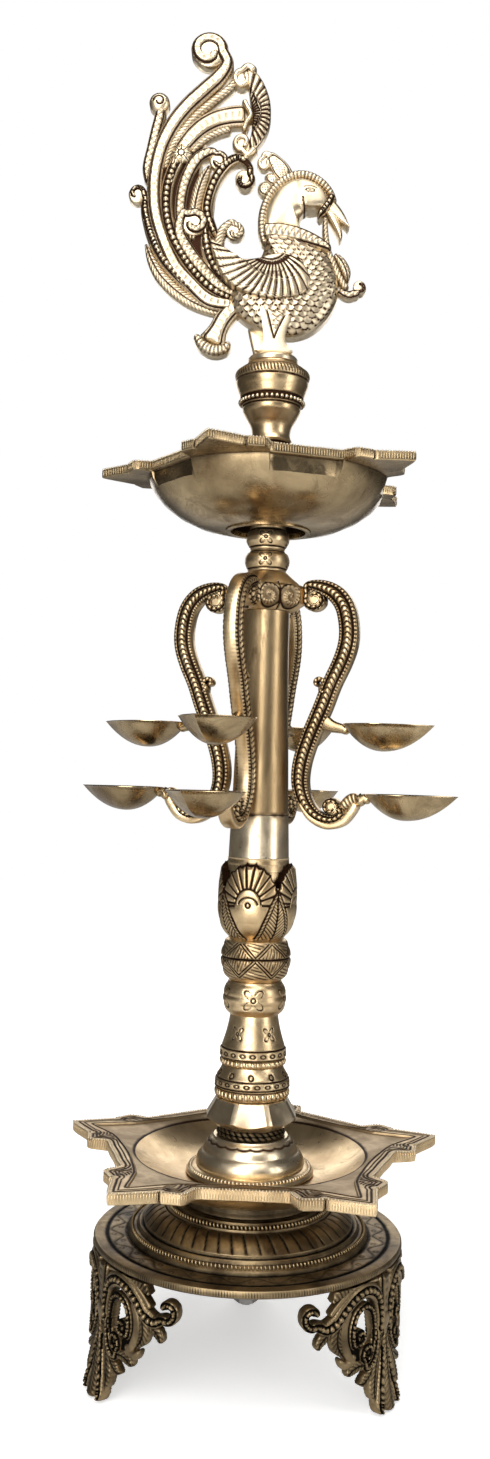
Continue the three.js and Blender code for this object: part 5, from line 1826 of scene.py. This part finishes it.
    def straps(self) -> dict[str, Strap]:
        """The neck band, mane, beak, strand and legs."""
        return {
            "neck_band": Strap(((-8.4, 643.4, 4.6), (2, 643.6, 4.8), (13, 641.6, 4.4), (23, 638.0, 3.4),
                (31.6, 633.6, 1.8)), 10.4, Chase.ZIGZAG, edge=0.7),
            "mane": Strap(((-6.6, 637, 1.9), (-8.6, 646, 2.3), (-8.2, 656, 2.4), (-5.2, 665, 2.4),
                (0, 672.4, 2.4), (7.4, 677.6, 2.4), (16, 678.6, 2.4), (24, 675.2, 2.3), (30, 669.2, 2.0),
                (33.4, 662.6, 1.2)), 6.4, Chase.RIBBED, across=15),
            "beak_ring": Strap(((31.8, 667.4, 2.0), (29.6, 662, 2.5), (26.4, 657.2, 2.5),
                (23.6, 653.8, 1.6)), 8.4, Chase.BEADED, across=15),
            "beak": Strap(((28, 663.6, 4.0), (33, 658.6, 3.8), (37.4, 653.6, 2.7), (41.8, 648.2, 0.5)), 5.8,
                edge=0.3),
            "wattle": Strap(((28.6, 659.2, 2.2), (31.6, 655.0, 2.7), (34.4, 649.6, 2.5), (36.4, 644.6, 1.7),
                (36.8, 641.0, 0.6)), 5.4, edge=0.3),
            "strand": Strap(((27.8, 654, 1.4), (28.2, 645, 1.7), (29.8, 635, 1.9), (33.4, 626, 2.2),
                (37.6, 617.8, 2.0), (41.6, 611.6, 2.2)), 6.2, Chase.ROPED, across=13),
            "strand_leaf": Strap(((33.6, 633, 1.0), (37.8, 628.4, 2.6), (40.8, 622.4, 2.6),
                (41.6, 616.4, 0.8)), 5.4, Chase.LEAFY, across=13),
            "strand_end": Strap(((36.4, 612.0, 2.2), (42.0, 609.2, 2.6), (47.0, 610.4, 2.6)), 5.0,
                Chase.ZIGZAG, Curl(48.6, 614.0, 4.4, 0.7), across=13),
            "crest_curl": Strap(((-3.4, 689, 2.4), (-7.8, 690.8, 1.9)), 4.0, Chase.PLAIN,
                Curl(-8.0, 685.6, 4.5, 1.0), across=11),
            "fan_curl_top": Strap(((-15, 738.6, 2.8), (-19.4, 741.8, 2.2)), 5.4, Chase.PLAIN,
                Curl(-22.4, 735.0, 6.2, 1.1), across=11),
            "fan_curl_low": Strap(((-13.4, 694.4, 2.4), (-18.0, 689.8, 1.9)), 5.2, Chase.PLAIN,
                Curl(-21.6, 696.4, 5.6, 1.1), across=11),
            "fan_link": Strap(((-19.0, 691, 2.0), (-19.6, 686.6, 1.8), (-21.6, 684.0, 2.4)), 4.6,
                Chase.PLAIN, across=11),
        }

    def _legs(self) -> None:
        """The front leg with its panel of scales, the darker one behind it, and the foot plate."""
        front = Strap(((1.6, 605, 10.4), (1.2, 595, 9.4), (0.4, 586, 7.0), (0.2, 579.5, 6.2),
            (0.2, 575.4, 8.0), (0.1, 571.0, 13.4)), 3.0, Chase.PANEL, edge=0.85, across=33, step=0.5)
        cast("peacock_front_leg", front, upright(0, 9.2), PALE, Body.FINIAL, Slot.PALE)
        back = Strap(((-9, 600, 7), (-8.6, 590, 6.4), (-7.4, 581, 5.4), (-4.6, 574, 6.4), (-2, 571.6, 8.4)),
            3.4)
        cast("peacock_rear_leg", back, upright(0, -7.6), PALE, Body.FINIAL, Slot.PALE)
        Turned("peacock_foot_plate", "peacock", ((13.2, 0), (14.4, 0.6), (14.4, 3.0), (13.6, 4.0)), 0.4,
            PALE, Body.FINIAL, Slot.PALE, columns=96).add()

    def add(self) -> None:
        """Builds every piece of the peacock."""
        lay = upright(0)
        for tag, shape in {**self.plumes(), **self.straps(), **self.plaques()}.items():
            cast(f"peacock_{tag}", shape, lay, PALE, Body.FINIAL, Slot.PALE)
            for core in shape.cores() if isinstance(shape, Strap) else ():
                cast(f"peacock_{tag}_core", core, lay, PALE, Body.FINIAL, Slot.PALE)
        self._legs()


# The studio
@dataclass(frozen=True)
class Studio:
    """Camera, soft lights and a pale floor."""

    eye: tuple[float, float, float] = (0.0, -0.7185, 0.3305)
    pitch: float = 2.109
    roll: float = 1.66
    lens: float = 30.99
    shift: float = -0.0119

    def _lamp(self, name: str, at: tuple[float, float, float], size: tuple[float, float],
            power: float) -> None:
        """A soft rectangular light that faces the lamp's middle.

        Args:
            name: The light's name.
            at: Its place in metres.
            size: Its width and height.
            power: Its power in watts.
        """
        data = bpy.data.lights.new(name, "AREA")
        data.shape = "RECTANGLE"
        data.size, data.size_y = size
        data.energy = power
        lamp = bpy.data.objects.new(name, data)
        lamp.location = at
        lamp.rotation_euler = (Vector((0, 0, 0.36)) - Vector(at)).to_track_quat("-Z", "Y").to_euler()
        bpy.context.scene.collection.objects.link(lamp)

    def add(self) -> None:
        """Sets up the camera, the lights, the surroundings and the floor."""
        scene = bpy.context.scene
        data = bpy.data.cameras.new("camera")
        data.sensor_width, data.sensor_fit = 36.0, "AUTO"
        data.lens, data.shift_x = self.lens, self.shift
        data.clip_start, data.clip_end = 0.01, 50
        camera = bpy.data.objects.new("camera", data)
        camera.location = self.eye
        look = Vector((0, 1, 0)).to_track_quat("-Z", "Y").to_matrix().to_4x4()
        tilt = Matrix.Rotation(math.radians(self.pitch), 4, "X")
        lean = Matrix.Rotation(math.radians(self.roll), 4, "Z")
        camera.rotation_euler = (look @ tilt @ lean).to_euler()
        scene.collection.objects.link(camera)
        scene.camera = camera
        scene.view_settings.view_transform = "Standard"

        self._lamp("key_light", (-0.42, -1.3, 0.62), (0.75, 1.6), 24)
        self._lamp("fill_light", (1.15, -0.7, 0.45), (0.35, 1.4), 7)
        self._lamp("top_light", (0.1, -0.85, 1.75), (1.2, 1.0), 15)
        self._lamp("back_card", (0.0, 1.5, 0.85), (1.7, 0.7), 7.5)

        world = bpy.data.worlds.new("studio")
        world.use_nodes = True
        world.node_tree.nodes.clear()
        g = Graph(world.node_tree)
        seen = g.add("ShaderNodeLightPath").outputs["Is Camera Ray"]
        soft = g.add("ShaderNodeBackground", {"Color": (0.98, 0.96, 0.93, 1), "Strength": 0.07})
        white = g.add("ShaderNodeBackground", {"Color": (1, 1, 1, 1), "Strength": 1.0})
        mix = g.add("ShaderNodeMixShader", {0: seen, 1: soft.outputs[0], 2: white.outputs[0]})
        g.add("ShaderNodeOutputWorld", {"Surface": mix.outputs[0]})
        scene.world = world

        mesh = bpy.data.meshes.new("floor")
        mesh.from_pydata([(-3, -3, 0), (3, -3, 0), (3, 3, 0), (-3, 3, 0)], [], [(0, 1, 2, 3)])
        floor = bpy.data.objects.new("floor", mesh)
        scene.collection.objects.link(floor)
        material = bpy.data.materials.new("pale_floor")
        material.use_nodes = True
        nodes = Graph(material.node_tree)
        shader = material.node_tree.nodes["Principled BSDF"]
        away = nodes.add("ShaderNodeVectorMath", {0: nodes.add("ShaderNodeTexCoord").outputs["Object"]},
            operation="LENGTH").outputs["Value"]
        seen_directly = nodes.add("ShaderNodeLightPath").outputs["Is Camera Ray"]
        glow = nodes.math("MULTIPLY", nodes.remap(away, 0.08, 0.6, 0.5, 1.0), seen_directly)
        nodes.feed(shader, "Base Color", (0.86, 0.86, 0.85, 1))
        nodes.feed(shader, "Roughness", 0.8)
        nodes.feed(shader, "Emission Color", nodes.blend(glow, (0, 0, 0, 1), (1, 1, 1, 1)))
        nodes.feed(shader, "Emission Strength", 1.0)
        mesh.materials.append(material)


def dress_frame_nodes(nodes: dict) -> None:
    """Gives finishes to the model's own nodes that stay: the rod, its nut, the stud and the hub.

    Args:
        nodes: The frame's nodes by name.
    """
    for name, finish in (("tie_rod", STEEL), ("tie_nut", STEEL), ("finial_stud", STEEL), ("tie_hub", SOOT_AND_SHADE)):
        thing = nodes[name]
        if not thing.material_slots:
            thing.data.materials.append(None)
        for holder in thing.material_slots:
            holder.link = "OBJECT"
            holder.material = finish.material()


def main() -> None:
    """Builds the studio and the lamp, piece by piece, and notes the sizes."""
    logging.basicConfig(level=logging.INFO, format="%(name)s %(message)s")
    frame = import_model()
    Studio().add()
    dress_frame_nodes(frame["nodes"])
    BaseDisc().add()
    for leg in ("leg_front_left", "leg_front_right", "leg_back"):
        Leg(leg).add()
    PetalDish("star_tray", "star_tray", 113.1, 87.7, (64.5, 118.6), 107, 12, 6.0,
        ((12, 99), (34, 99), (46, 100.6), (56, 104.2), (63, 109), (67.4, 114.0)), GOLDEN, Slot.POLISHED,
        Body.STAND).add()
    Column().add()
    Branches().add()
    PetalDish("upper_bowl", "upper_bowl", 96.8, 107, (62.5, 499.0), 480.2, 24.6, 5.0,
        ((24.6, 471.5), (32, 471.9), (42, 474.2), (52, 478.8), (60, 484.6), (65.5, 490.6), (68.4, 495.6),
        (69.4, 499.0)), OLIVE, Slot.AGED, Body.BOWL).add()
    FinialPot().add()
    Peacock().add()


if __name__ == "__main__":
    main()
